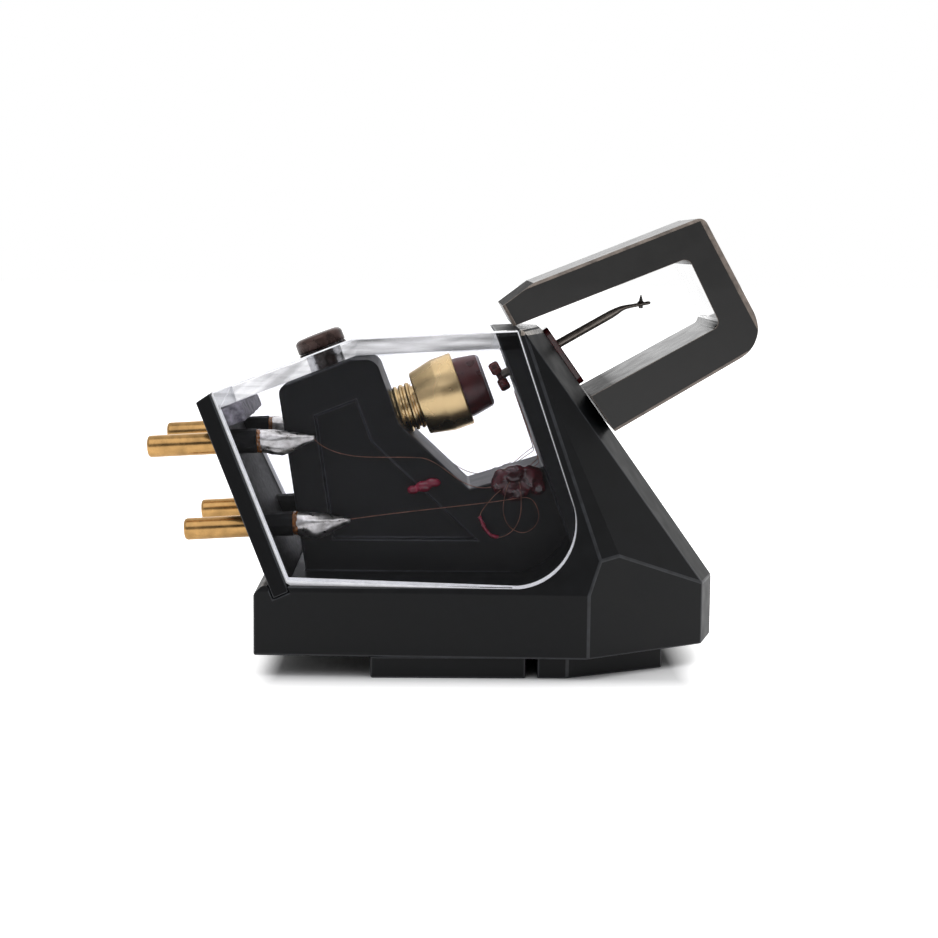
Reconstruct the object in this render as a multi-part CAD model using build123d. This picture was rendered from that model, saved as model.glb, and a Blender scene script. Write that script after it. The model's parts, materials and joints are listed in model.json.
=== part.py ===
from build123d import *
import math
import os

# Moving-coil phono cartridge, standing inverted on its mounting pads with the stylus up.
# Frame: origin midway between the two mounting holes on the pad face, +X towards the stylus,
# +Z from the pads up to the stylus, and the cartridge is symmetric about Y = 0. Millimetres, degrees.

# Mounting face
HOLE_PITCH = 12.7
HOLE_CORE_R = 1.05
HOLE_DEPTH = 4.2
HOLE_WALL = 0.6
THIRD_HOLE_X = 7.2
PAD_HEIGHT = 1.2
PAD_INSET = 0.35
PAD_REAR_X = -5.9
PAD_SHOULDER_X = 4.95
PAD_FRONT_X = 10.5
PAD_FRONT_HALF = 5.2
SLOT_X = 2.65
SLOT_WIDTH = 0.65

# Body outside: tapered base, leaning sides and the faceted front wedge
BASE_SIDE_HEIGHT = 3.55
LEDGE_RISE = 0.3
BASE_REAR_X = -12.33
SHOULDER_X = 6.05
STRIP_X = 12.85
BASE_FRONT_X = 13.72
FRONT_HALF = 1.6
BASE_TAPER = 2.6
CHAMFER_TURN = 32.0
SIDE_LEAN = 13.0
FRONT_SLOPE = 54.6
EDGE_FACET = 0.42
REAR_EDGE_CHAMFER = 0.5

# Stylus and cantilever
STYLUS_X = 9.5
STYLUS_TIP_Z = 20.92
STYLUS_R = 0.13
STYLUS_POINT = 0.45
TIP_THICK = 0.22
TIP_WIDTH = 0.62
TIP_RISE = 11.0
TIP_RUN = 1.05
TIP_PAST = 0.55
CANTILEVER_TILT = 29.8
CANTILEVER_RUN = 7.62
CANTILEVER_R = 0.27

# Nose and generator
NOSE_CROWN = 2.56
MAGNET_TILT = 20.5
BORE_R = 0.75
DAMPER_LENGTH = 0.7
DAMPER_INSET = 0.15
DAMPER_GAP = 0.05
PIVOT_GAP = 0.035
COLLAR_WIDTH = 2.4
COLLAR_UP = 1.2
COLLAR_DOWN = 2.6
COLLAR_CORNER_R = 0.4
COLLAR_BORE_R = 0.52
COLLAR_THICK = 0.15
ARMATURE_BACK = 0.62
ARMATURE_THICK = 0.3
ARM_REACH = 1.0
ARM_WIDTH = 0.3
HUB_R = 0.4
COIL_WIDTH = 0.5
COIL_LENGTH = 0.42
MAGNET_GAP = 1.38
MAGNET_PROUD = 1.5
MAGNET_END_R = 1.58
MAGNET_ROOT_R = 1.8
MAGNET_SEAT = 0.8
MAGNET_BEVEL = 0.15
CARRIER_RIM_R = 2.18
CARRIER_RIM_LENGTH = 1.25
CARRIER_CONE_LENGTH = 1.4
CARRIER_STEP_R = 1.87
CARRIER_THREAD_R = 1.43
CARRIER_IN_PILLAR = 3.0
WINDOW = 6.88

# Clear cover
KNEE_X = -7.07
ROOF_RISE = 3.3
ROOF_SLOPE = 21.4
ROOF_THICK = 1.04
COVER_WALL = 0.9
RIM_LEAN = 72.0
RIM_BAND = 1.3
RIM_CORNER_R = 3.5
FIT = 0.04

# Inner block: pillar, valley and side pockets
PILLAR_LEAN = 81.6
PILLAR_GAP = 0.75
PILLAR_SLOPE_GAP = 0.15
PILLAR_TOP_DROP = 0.3
PILLAR_REAR_R = 0.6
PILLAR_FRONT_R = 0.8
VALLEY_DEPTH = 6.55
VALLEY_BACK = 2.3
VALLEY_FRONT_RISE = 17.3
VALLEY_REAR_RISE = 43.0
POCKET_DEPTH = 0.5
POCKET_MARGIN = 1.85
POCKET_TOP = 2.6
POCKET_FLOOR = 1.85

# Cover screw
SCREW_X = -9.0
SCREW_R = 0.9
SCREW_LENGTH = 3.6
SCREW_HEAD_R = 1.45
SCREW_HEAD = 0.85
SCREW_CHAMFER = 0.38
SCREW_SOCKET = 1.5
SCREW_SOCKET_DEPTH = 0.5
SCREW_CLEARANCE = 0.15

# Terminal plate with its pins and solder joints
PLATE_FOOT_X = -10.51
PLATE_LEAN = 66.8
PLATE_THICK = 0.9
PLATE_TOP_FALL = 34.0
PLATE_GROOVE = 0.3
STRIP_DEPTH = 1.3
STRIP_DROP = 1.15
PIN_R = 0.625
PIN_LOWER = 2.77
PIN_PITCH_Z = 4.69
PIN_RISE = 3.2
PIN_OUT = 3.9
PIN_CHAMFER = 0.16
PIN_TAIL_R = 0.45
PIN_CLEAR = 0.05
PIN_BOSS_R = 0.7
SOLDER_START = 1.33
SOLDER_LENGTH = 3.25
SOLDER_BELLY = 1.2
SOLDER_R = 0.8
SOLDER_ROOT_R = 0.72
SOLDER_TIP_R = 0.14
SOLDER_SIDE_GAP = 0.12
SOLDER_BLOCK_GAP = 0.1

# Leads and lacquer
LEAD_R = 0.04
LACQUER_X = 2.3
LACQUER_Z = 10.2
LACQUER_LENGTH = 3.0
LACQUER_HEIGHT = 2.2
LACQUER_DEPTH = 0.7
LACQUER_TAPER = 40.0
LACQUER_FAR_DROP = 0.7
DAB_X = -3.0
DAB_Z = 10.0
DAB_LENGTH = 1.85
DAB_HEIGHT = 0.84
DAB_DEPTH = 0.5

# Slip-on stylus guard
GUARD_HALF = 4.1
GUARD_REAR_X = 1.95
GUARD_GAP = 0.2
GUARD_TOP_RISE = 21.8
GUARD_TOP_LENGTH = 10.46
GUARD_TOP_THICK = 1.85
GUARD_END_THICK = 1.3
GUARD_END_TURN = 120.0
GUARD_END_BEVEL = 1.9
GUARD_WEB_LEAN = 63.3
GUARD_WEB_TAPER = 2.5
GUARD_WEB_THICK = 1.86
GUARD_LOWER_RISE = 29.1
GUARD_LOWER_TAPER = 1.7
GUARD_LOWER_Z = 15.25
GUARD_LOWER_THICK = 2.44
GUARD_INNER_R = 0.45
GUARD_CORNER_R = 0.55
GUARD_HEEL_R = 2.0
GUARD_BEVEL = 0.15
GUARD_WEB_BEVEL = 0.3


def sin(deg):
    return math.sin(math.radians(deg))


def cos(deg):
    return math.cos(math.radians(deg))


def tan(deg):
    return math.tan(math.radians(deg))


def along(p, deg, distance):
    """Point at a distance from p, in a direction given in the X, Z plane."""
    return (p[0] + distance * cos(deg), p[1] + distance * sin(deg))


def meet(p, p_deg, q, q_deg):
    """Crossing of the line through p at p_deg and the line through q at q_deg."""
    across = cos(p_deg) * sin(q_deg) - sin(p_deg) * cos(q_deg)
    t = ((q[0] - p[0]) * sin(q_deg) - (q[1] - p[1]) * cos(q_deg)) / across
    return along(p, p_deg, t)


# Reference points of the side view, each (x, z)
BASE_Z = PAD_HEIGHT
CREASE_Z = BASE_Z + BASE_SIDE_HEIGHT
BASE_TOP_Z = CREASE_Z + LEDGE_RISE
PAD_HALF = HOLE_PITCH / 2 + HOLE_CORE_R + HOLE_WALL
BASE_HALF = PAD_HALF + PAD_INSET

TIP_TOP_Z = STYLUS_TIP_Z - STYLUS_POINT
STYLUS_FOOT = (STYLUS_X, TIP_TOP_Z - TIP_THICK / 2)
BEND = along(STYLUS_FOOT, TIP_RISE + 180, TIP_RUN)
PIVOT = along(BEND, CANTILEVER_TILT + 180, CANTILEVER_RUN)
ARMATURE = along(PIVOT, CANTILEVER_TILT + 180, ARMATURE_BACK)

FACE_TURN = 90 + MAGNET_TILT
CROWN_Z = PIVOT[1] + NOSE_CROWN
NOSE_TOP = meet(PIVOT, FACE_TURN, (0, CROWN_Z), 0)
KNEE = (KNEE_X, NOSE_TOP[1] - (NOSE_TOP[0] - KNEE_X) * tan(ROOF_RISE))
FRONT_FOOT = (BASE_FRONT_X, CREASE_Z)
FRONT_TURN = 180 - FRONT_SLOPE
NOSE_FRONT = meet(FRONT_FOOT, FRONT_TURN, KNEE, ROOF_RISE)

RIM_TOP = along(NOSE_TOP, ROOF_RISE, RIM_BAND)
RIM_TURN = 180 - RIM_LEAN
RIM_FOOT = meet(RIM_TOP, RIM_TURN, (0, BASE_TOP_Z), 0)

PLATE_TURN = 180 - PLATE_LEAN
PLATE_FOOT = (PLATE_FOOT_X, BASE_TOP_Z)
PLATE_TOP = meet(PLATE_FOOT, PLATE_TURN, KNEE, ROOF_SLOPE)
UNDER_KNEE = meet((KNEE[0], KNEE[1] - ROOF_THICK / cos(ROOF_RISE)), ROOF_RISE,
                  (KNEE[0], KNEE[1] - ROOF_THICK / cos(ROOF_SLOPE)), ROOF_SLOPE)

PILLAR_FACE = along(PIVOT, MAGNET_TILT + 180, WINDOW)
PILLAR_FOOT = (PLATE_FOOT_X + PILLAR_GAP, BASE_TOP_Z)
VALLEY = (PIVOT[0] - VALLEY_BACK, PIVOT[1] - VALLEY_DEPTH)

FAR = 40.0
CORE = Vector(0, 0, CREASE_Z - BASE_SIDE_HEIGHT / 2)


def plan_half(x):
    """Half width of the tapered base at x."""
    return BASE_HALF + x * tan(BASE_TAPER)


def side_half(x, z, inset=0.0):
    """Half width of the leaning sides at x and z, with the side moved in by inset."""
    slant = math.sqrt(1 + tan(SIDE_LEAN) ** 2 + tan(BASE_TAPER) ** 2)
    return plan_half(x) - (z - CREASE_Z) * tan(SIDE_LEAN) - inset * slant


def prism(points, half, rounded=None):
    """Solid with the given side view, reaching half to each side of Y = 0; rounded maps point to radius."""
    outline = Polygon(*points, align=None)
    for point, radius in (rounded or {}).items():
        corner = outline.vertices().sort_by_distance(Vector(*point))[0]
        outline = fillet(corner, radius)
    return extrude(Plane.XZ * outline, half, both=True)


def trim(solid, a, b, c, inner=CORE):
    """What lies on the inner point's side of the plane through a, b and c."""
    normal = (Vector(*b) - Vector(*a)).cross(Vector(*c) - Vector(*a))
    if normal.dot(inner - Vector(*a)) > 0:
        normal = -normal
    return split(solid, bisect_by=Plane(origin=a, z_dir=normal), keep=Keep.BOTTOM)


def trim_both(solid, a, b, c):
    """The same cut on the near and the far side."""
    for side in (-1, 1):
        solid = trim(solid, *[(x, side * y, z) for x, y, z in (a, b, c)])
    return solid


def trim_sides(solid, inset=0.0):
    """Cuts a solid to the leaning sides, moved in by inset."""
    spots = ((0, CREASE_Z), (SHOULDER_X, CREASE_Z), (0, CROWN_Z))
    return trim_both(solid, *[(x, side_half(x, z, inset), z) for x, z in spots])


def slanted(point, deg, y=0.0):
    """Plane at (x, z) whose normal points along deg in the side view, with its X axis along +Y."""
    return Plane(origin=(point[0], y, point[1]), x_dir=(0, 1, 0), z_dir=(cos(deg), 0, sin(deg)))


def turned(radii):
    """Solid of revolution about local Z, from (height, radius) pairs, bottom to top."""
    bottom, top = radii[0][0], radii[-1][0]
    outline = [(0, bottom)] + [(r, h) for h, r in radii] + [(0, top)]
    return revolve(Plane.XZ * Polygon(*outline, align=None), Axis.Z)


def base_plan():
    """Plan outline: tapered sides, chamfered front corners and a narrow front face."""
    strip_half = plan_half(SHOULDER_X) - (STRIP_X - SHOULDER_X) * tan(CHAMFER_TURN)
    near = [(BASE_REAR_X, -plan_half(BASE_REAR_X)), (SHOULDER_X, -plan_half(SHOULDER_X)),
            (STRIP_X, -strip_half), (BASE_FRONT_X, -FRONT_HALF)]
    far = [(x, -y) for x, y in reversed(near)]
    return Polygon(*near, *far, align=None)


def body_hull():
    """Outer form of base and wedge as one faceted block, before the cover's space is cut out."""
    hull = Pos(0, 0, BASE_Z) * extrude(base_plan(), NOSE_FRONT[1] - BASE_Z + LEDGE_RISE)
    hull = trim_sides(hull)
    front_foot = (FRONT_FOOT[0], 0, FRONT_FOOT[1])
    front_head = (NOSE_FRONT[0], 0, NOSE_FRONT[1])
    hull = trim(hull, (KNEE[0], 0, KNEE[1]), front_head, (NOSE_FRONT[0], 1, NOSE_FRONT[1]))
    hull = trim(hull, front_foot, front_head, (FRONT_FOOT[0], 1, FRONT_FOOT[1]))

    # The narrow strip beside the front face runs up the slope; the cheek is the broad facet behind it.
    strip_half = plan_half(SHOULDER_X) - (STRIP_X - SHOULDER_X) * tan(CHAMFER_TURN)
    strip_foot = (STRIP_X, strip_half, CREASE_Z)
    hull = trim_both(hull, strip_foot, (FRONT_FOOT[0], FRONT_HALF, CREASE_Z),
                     (NOSE_FRONT[0], FRONT_HALF, NOSE_FRONT[1]))
    back_per_y = (BASE_FRONT_X - STRIP_X) / (strip_half - FRONT_HALF)
    crown_half = side_half(NOSE_FRONT[0], NOSE_FRONT[1])
    crown = (NOSE_FRONT[0] - (crown_half - FRONT_HALF) * back_per_y, crown_half, NOSE_FRONT[1])
    rise = (NOSE_FRONT[1] - CREASE_Z) / 6
    cheek_x = SHOULDER_X + rise * tan(SIDE_LEAN) / tan(CHAMFER_TURN)
    cheek_half = plan_half(SHOULDER_X) - (cheek_x - SHOULDER_X) * tan(CHAMFER_TURN)
    cheek_foot = (cheek_x, cheek_half, CREASE_Z + rise)
    hull = trim_both(hull, crown, strip_foot, cheek_foot)
    on_side = (cheek_x - EDGE_FACET, side_half(cheek_x - EDGE_FACET, CREASE_Z + rise), CREASE_Z + rise)
    share = 2 * EDGE_FACET / (STRIP_X - cheek_x)
    on_cheek = tuple(c + share * (s - c) for c, s in zip(cheek_foot, strip_foot))
    return trim_both(hull, crown, on_side, on_cheek)


def pads():
    """Two low pads that meet the headshell, with a slot between them."""
    near = [(PAD_REAR_X, -PAD_HALF), (PAD_SHOULDER_X, -PAD_HALF), (PAD_FRONT_X, -PAD_FRONT_HALF)]
    far = [(x, -y) for x, y in reversed(near)]
    block = extrude(Polygon(*near, *far, align=None), PAD_HEIGHT + LEDGE_RISE)
    slot = Pos(SLOT_X + SLOT_WIDTH / 2, 0, PAD_HEIGHT / 2) * Box(SLOT_WIDTH, FAR, PAD_HEIGHT)
    return block - slot


def cover_space():
    """Side view that the cover closes, left out of the hull: all that lies behind and above the rim."""
    top = along(RIM_TOP, RIM_TURN, FAR)
    return prism([(-FAR, BASE_TOP_Z), RIM_FOOT, top, (-FAR, top[1])], FAR, {RIM_FOOT: RIM_CORNER_R})


def pin_middle(row):
    """Where a pin of a row crosses the middle of the plate; row 0 is the lower pair."""
    z = BASE_TOP_Z + PIN_LOWER + row * PIN_PITCH_Z
    return along(meet(PLATE_FOOT, PLATE_TURN, (0, z), 0), 180, PLATE_THICK / 2 / sin(PLATE_LEAN))


def pin_half():
    """Distance of all pins from Y = 0: the upper pair's solder clears the cover's leaning walls."""
    x, z = pin_middle(1)
    return side_half(x, z + SOLDER_R, COVER_WALL) - SOLDER_R - SOLDER_SIDE_GAP


def block_half():
    """Half width of the inner block, clear of the solder on both sides."""
    return pin_half() - SOLDER_R - SOLDER_BLOCK_GAP


def inner_block():
    """Pillar and valley between the side walls, with a shallow pocket in each flank."""
    sunk = BASE_TOP_Z - LEDGE_RISE
    rear_turn = 180 - PILLAR_LEAN
    slope_rear = meet(PILLAR_FOOT, rear_turn, (UNDER_KNEE[0], UNDER_KNEE[1] - PILLAR_SLOPE_GAP), ROOF_SLOPE)
    top_z = UNDER_KNEE[1] - PILLAR_TOP_DROP
    slope_front = meet(slope_rear, ROOF_SLOPE, (0, top_z), 0)
    top_front = meet(PILLAR_FACE, FACE_TURN, (0, top_z), 0)
    valley_rear = meet(PILLAR_FACE, FACE_TURN, VALLEY, 180 - VALLEY_REAR_RISE)
    into_nose = meet(VALLEY, VALLEY_FRONT_RISE, RIM_TOP, RIM_TURN)
    foot_front = meet((0, sunk), 0, RIM_TOP, RIM_TURN)
    outline = [(PILLAR_FOOT[0], sunk), PILLAR_FOOT, slope_rear, slope_front, top_front, valley_rear, VALLEY,
               into_nose, foot_front]
    rounded = {top_front: PILLAR_FRONT_R, slope_rear: PILLAR_REAR_R}
    block = prism(outline, block_half(), rounded)

    pocket_floor = (0, BASE_TOP_Z + POCKET_FLOOR)
    pocket_rear = (PILLAR_FOOT[0] + POCKET_MARGIN, BASE_TOP_Z)
    pocket_front = along(PILLAR_FACE, MAGNET_TILT + 180, POCKET_MARGIN)
    pocket_top = (UNDER_KNEE[0], UNDER_KNEE[1] - POCKET_TOP)
    pocket_slope = along(VALLEY, 270 - VALLEY_REAR_RISE, POCKET_MARGIN)
    pocket = [meet(pocket_rear, rear_turn, pocket_floor, 0),
              meet(pocket_rear, rear_turn, pocket_top, ROOF_SLOPE),
              meet(pocket_front, FACE_TURN, pocket_top, ROOF_SLOPE),
              meet(pocket_front, FACE_TURN, pocket_slope, 180 - VALLEY_REAR_RISE),
              meet(pocket_slope, 180 - VALLEY_REAR_RISE, pocket_floor, 0)]
    web = prism(outline, block_half() - POCKET_DEPTH, rounded)
    return (block - prism(pocket, FAR)) + web


def nose_core():
    """Nose plate behind the rim, as wide as the cover leaves room for."""
    sunk = BASE_TOP_Z - LEDGE_RISE
    rim_in = 3 * FIT
    face_foot = meet(PIVOT, FACE_TURN, (0, sunk), 0)
    rim_foot = meet(RIM_TOP, RIM_TURN, (0, sunk), 0)
    outline = [NOSE_TOP, face_foot, along(rim_foot, 0, rim_in), along(RIM_TOP, ROOF_RISE, rim_in)]
    return trim_sides(prism(outline, FAR), COVER_WALL + FIT)


def plate_outline(grow=0.0):
    """Side view of the terminal plate, grown by a clearance for its groove."""
    foot = along(PLATE_FOOT, PLATE_TURN + 180, PLATE_GROOVE / sin(PLATE_LEAN) + grow)
    foot = along(foot, PLATE_TURN - 90, grow)
    top = along(PLATE_TOP, PLATE_TURN - 90, grow)
    outer_foot = along(foot, PLATE_TURN + 90, PLATE_THICK + 2 * grow)
    return [foot, top, meet(top, PLATE_TOP_FALL, outer_foot, PLATE_TURN), outer_foot]


def screw_plane():
    """Seat of the cover screw on the sloped roof, looking out of it."""
    seat = meet((SCREW_X, 0), 90, KNEE, ROOF_SLOPE)
    return slanted(seat, 90 + ROOF_SLOPE)


def body():
    """Black moulded frame."""
    frame = (body_hull() - cover_space()) + inner_block() + nose_core() + pads()
    above = BASE_TOP_Z + FIT
    behind = BASE_REAR_X - FIT
    frame -= prism([(behind, BASE_TOP_Z - REAR_EDGE_CHAMFER), (BASE_REAR_X + REAR_EDGE_CHAMFER, above),
                    (behind, above)], FAR)
    frame -= prism(plate_outline(FIT), FAR)
    for x, y in ((0, HOLE_PITCH / 2), (0, -HOLE_PITCH / 2), (THIRD_HOLE_X, 0)):
        frame -= Pos(x, y, HOLE_DEPTH / 2) * Cylinder(HOLE_CORE_R, HOLE_DEPTH)
    lift = (Align.CENTER, Align.CENTER, Align.MIN)
    drop = (Align.CENTER, Align.CENTER, Align.MAX)
    frame -= screw_plane() * Cylinder(SCREW_R, SCREW_LENGTH + FIT, align=drop)
    frame -= slanted(PILLAR_FACE, MAGNET_TILT) * Cylinder(CARRIER_THREAD_R, 2 * (CARRIER_IN_PILLAR + FIT))
    frame -= slanted(ARMATURE, CANTILEVER_TILT) * Cylinder(BORE_R, FAR / 4, align=lift)
    return frame


def cover():
    """Clear cover: a roof and two side walls in one moulding, flush with the body's sides."""
    rim_top = along(RIM_TOP, ROOF_RISE + 180, FIT)
    rim_foot = along(RIM_FOOT, 180, FIT)
    plate_foot = along(PLATE_FOOT, 0, FIT)
    plate_top = along(PLATE_TOP, ROOF_SLOPE, FIT)
    wall_outline = [plate_foot, rim_foot, rim_top, KNEE, plate_top]
    walls = trim_sides(prism(wall_outline, FAR, {rim_foot: RIM_CORNER_R}))
    nose_end = along(NOSE_TOP, ROOF_RISE + 180, FIT)
    past = 10 * ROOF_THICK
    inside = [(PLATE_TOP[0] - past, BASE_TOP_Z - 1), (RIM_FOOT[0] + past, BASE_TOP_Z - 1),
              (RIM_FOOT[0] + past, CROWN_Z + past), along(nose_end, FACE_TURN, past),
              meet(nose_end, FACE_TURN, UNDER_KNEE, ROOF_RISE), UNDER_KNEE,
              along(UNDER_KNEE, ROOF_SLOPE + 180, past)]
    shell = walls - trim_sides(prism(inside, FAR), COVER_WALL)
    return shell - screw_plane() * Cylinder(SCREW_R + SCREW_CLEARANCE, 4 * ROOF_THICK)


def cover_screw():
    """Button-head socket screw, head on the roof and shank in the pillar."""
    head = turned([(0, SCREW_HEAD_R), (SCREW_HEAD - SCREW_CHAMFER, SCREW_HEAD_R),
                   (SCREW_HEAD, SCREW_HEAD_R - SCREW_CHAMFER)])
    shank = Cylinder(SCREW_R, SCREW_LENGTH, align=(Align.CENTER, Align.CENTER, Align.MAX))
    socket = extrude(RegularPolygon(SCREW_SOCKET / 2, 6), SCREW_HEAD)
    return screw_plane() * (head + shank - Pos(0, 0, SCREW_HEAD - SCREW_SOCKET_DEPTH) * socket)


def pin_plane(row, side):
    """Middle of a pin in the plate: side -1 is the right channel; Z runs inwards."""
    return slanted(pin_middle(row), PIN_RISE, side * pin_half())


# Half the stretch of a pin that lies in the leaning plate, and from there the stretch to its full radius
IN_PLATE = PLATE_THICK / 2 / sin(PLATE_LEAN + PIN_RISE)
PIN_NECK = PIN_R / tan(PLATE_LEAN + PIN_RISE) + PIN_CLEAR


def terminal_plate():
    """Leaning black plate with a boss and a hole for each pin, its foot in the base's groove."""
    plate = trim_sides(prism(plate_outline(), FAR))
    reach = IN_PLATE + SOLDER_START
    boss = extrude(RegularPolygon(PIN_BOSS_R, 12), reach)
    hole = extrude(RegularPolygon(PIN_TAIL_R + FIT / 4, 12, major_radius=False), reach + FIT, both=True)
    for row in (0, 1):
        for side in (-1, 1):
            plate += pin_plane(row, side) * boss
            plate -= pin_plane(row, side) * hole
    return plate


def sealing_strip():
    """Strip inside the plate's top edge, up against the roof."""
    face = along(PLATE_FOOT, 0, FIT)
    under = (UNDER_KNEE[0], UNDER_KNEE[1] - FIT)
    top_rear = meet(face, PLATE_TURN, under, ROOF_SLOPE)
    top_front = meet(along(face, 0, STRIP_DEPTH / sin(PLATE_LEAN)), PLATE_TURN, under, ROOF_SLOPE)
    strip = prism([top_rear, top_front, along(top_front, PLATE_TURN + 180, STRIP_DROP),
                   along(top_rear, PLATE_TURN + 180, STRIP_DROP)], FAR)
    return trim_sides(strip, COVER_WALL + FIT)


def pin(row, side):
    """Round pin with a bevelled outer end and a slimmer tail through the plate."""
    outer = -IN_PLATE - PIN_OUT
    neck = -IN_PLATE - PIN_NECK
    form = turned([(outer, PIN_R - PIN_CHAMFER), (outer + PIN_CHAMFER, PIN_R), (neck, PIN_R),
                   (neck, PIN_TAIL_R), (IN_PLATE + SOLDER_START, PIN_TAIL_R)])
    return pin_plane(row, side) * form


def solder_joint(row, side):
    """Drop of solder on the pin's inner end, drawn out to a point."""
    belly = RegularPolygon(SOLDER_R, 12)
    spike = SOLDER_LENGTH - SOLDER_BELLY
    foot_taper = math.degrees(math.atan((SOLDER_R - SOLDER_ROOT_R) / SOLDER_BELLY))
    spike_taper = math.degrees(math.atan((SOLDER_R - SOLDER_TIP_R) / spike))
    drop = extrude(belly, spike, taper=spike_taper) + extrude(belly, -SOLDER_BELLY, taper=foot_taper)
    return pin_plane(row, side) * Pos(0, 0, IN_PLATE + SOLDER_START + SOLDER_BELLY) * drop


def solder_tip(row, side):
    """Point where a lead leaves its solder joint."""
    return (pin_plane(row, side) * Pos(0, 0, IN_PLATE + SOLDER_START + SOLDER_LENGTH)).position


# Routes of the two leads of a side after the solder joint, (x, distance out from the block's flank, z),
# and their ends behind the coils, (x, distance from Y = 0, z)
LEAD_ROUTES = {
    1: [(-8.2, 0.8, 12.2), (-6.4, 0.6, 11.7), (-2.9, 0.35, 11.55), (-0.3, 0.2, 9.75), (1.9, 0.35, 10.2),
        (3.46, -0.1, 11.75)],
    0: [(1.3, 0.6, 9.35), (2.9, 0.5, 9.2), (3.0, 0.55, 7.4), (0.5, 0.6, 7.2), (0.6, 0.6, 9.0),
        (2.1, 0.5, 10.0), (3.52, 0.2, 11.5)],
}
LEAD_ENDS = {1: (2.22, 0.95, 15.15), 0: (2.42, 1.15, 14.65)}


def lead(row, side):
    """Hair-thin copper lead from a solder joint, over the lacquer, to a coil."""
    route = [(x, block_half() + out, z) for x, out, z in LEAD_ROUTES[row]] + [LEAD_ENDS[row]]
    points = [solder_tip(row, side)] + [Vector(x, side * y, z) for x, y, z in route]
    radii = []
    for before, corner, after in zip(points, points[1:], points[2:]):
        turn = (corner - before).get_angle(after - corner)
        radii.append(0.45 * min((corner - before).length, (after - corner).length) / tan(turn / 2))
    path = FilletPolyline(*points, radius=radii)
    section = Plane(origin=path @ 0, z_dir=path % 0) * RegularPolygon(LEAD_R, 4)
    return sweep(section, path=path)


def dome(outline, height):
    """Low dome on an outline: an upright foot, then a slanting crown."""
    crown = extrude(outline, height / 2, taper=LACQUER_TAPER)
    return extrude(outline, height / 2) + Pos(0, 0, height / 2) * crown


def lead_lacquer(side):
    """Lump of lacquer that fixes a side's leads beside the nose, lower on the far side."""
    z = LACQUER_Z if side < 0 else LACQUER_Z - LACQUER_FAR_DROP
    foot = (LACQUER_X, side * (block_half() + FIT), z)
    flank = Plane(origin=foot, x_dir=(1, 0, 0), z_dir=(0, side, 0))
    return flank * dome(Ellipse(LACQUER_LENGTH / 2, LACQUER_HEIGHT / 2), LACQUER_DEPTH)


def lacquer_dab():
    """Small drop of lacquer on the near flank of the block."""
    flank = Plane(origin=(DAB_X, -block_half() - FIT, DAB_Z), x_dir=(1, 0, 0), z_dir=(0, -1, 0))
    return flank * dome(SlotOverall(DAB_LENGTH, DAB_HEIGHT), DAB_DEPTH)


def magnet_carrier():
    """Turned brass carrier: threaded shank, cone, rim and a seat for the magnet."""
    rim_end = -MAGNET_GAP - MAGNET_PROUD
    cone_end = rim_end - CARRIER_RIM_LENGTH
    step = cone_end - CARRIER_CONE_LENGTH
    blank = turned([(-WINDOW - CARRIER_IN_PILLAR, CARRIER_THREAD_R - FIT), (step, CARRIER_THREAD_R - FIT),
                    (step, CARRIER_STEP_R), (cone_end, CARRIER_RIM_R), (rim_end, CARRIER_RIM_R)])
    seat = Pos(0, 0, rim_end) * Cylinder(MAGNET_ROOT_R, 2 * MAGNET_SEAT)
    return slanted(PIVOT, MAGNET_TILT) * (blank - seat)


def magnet():
    """Dark red coated magnet, seated in the carrier and tapered to its face."""
    rim_end = -MAGNET_GAP - MAGNET_PROUD
    form = turned([(rim_end - MAGNET_SEAT + FIT, MAGNET_ROOT_R - FIT / 2), (rim_end, MAGNET_ROOT_R - FIT / 2),
                   (-MAGNET_GAP - MAGNET_BEVEL, MAGNET_END_R), (-MAGNET_GAP, MAGNET_END_R - MAGNET_BEVEL)])
    return slanted(PIVOT, MAGNET_TILT) * form


def arm_plane(turn):
    """One arm of the armature: Z runs out along the arm."""
    return slanted(ARMATURE, CANTILEVER_TILT) * Rot(0, 0, turn) * Rot(0, 90, 0)


ARM_TURNS = {"coil_right_upper": 45, "coil_left_upper": 135, "coil_right_lower": 225, "coil_left_lower": 315}


def armature():
    """Iron cross on the cantilever's inner end, with an arm for each winding."""
    hub = slanted(ARMATURE, CANTILEVER_TILT) * Cylinder(HUB_R, ARMATURE_THICK)
    out = (Align.CENTER, Align.CENTER, Align.MIN)
    for turn in ARM_TURNS.values():
        hub += arm_plane(turn) * Box(ARMATURE_THICK, ARM_WIDTH, ARM_REACH, align=out)
    bore = slanted(ARMATURE, CANTILEVER_TILT) * Cylinder(CANTILEVER_R, 2 * ARMATURE_THICK)
    return hub - bore


def coil(turn):
    """Winding on one arm."""
    winding = RectangleRounded(COIL_WIDTH, COIL_WIDTH, COIL_WIDTH / 4)
    winding -= Rectangle(ARMATURE_THICK + FIT, ARM_WIDTH + FIT)
    base = ARM_REACH - COIL_LENGTH - FIT
    return arm_plane(turn) * Pos(0, 0, base) * extrude(winding, COIL_LENGTH)


def cantilever():
    """Thin tube, then a flattened tip that carries the stylus."""
    start = along(ARMATURE, CANTILEVER_TILT + 180, ARMATURE_THICK / 2)
    reach = ARMATURE_THICK / 2 + ARMATURE_BACK + CANTILEVER_RUN
    lift = (Align.CENTER, Align.CENTER, Align.MIN)
    tube = slanted(start, CANTILEVER_TILT) * Cylinder(CANTILEVER_R, reach, align=lift)
    neck = along(BEND, TIP_RISE + 180, CANTILEVER_R)
    flat = SlotOverall(TIP_WIDTH, TIP_THICK)
    blade = slanted(neck, TIP_RISE) * extrude(flat, CANTILEVER_R + TIP_RUN + TIP_PAST)
    hole = extrude(RegularPolygon(STYLUS_R, 8), 2 * TIP_THICK, both=True)
    return tube + blade - Pos(STYLUS_FOOT[0], 0, STYLUS_FOOT[1]) * hole


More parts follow.
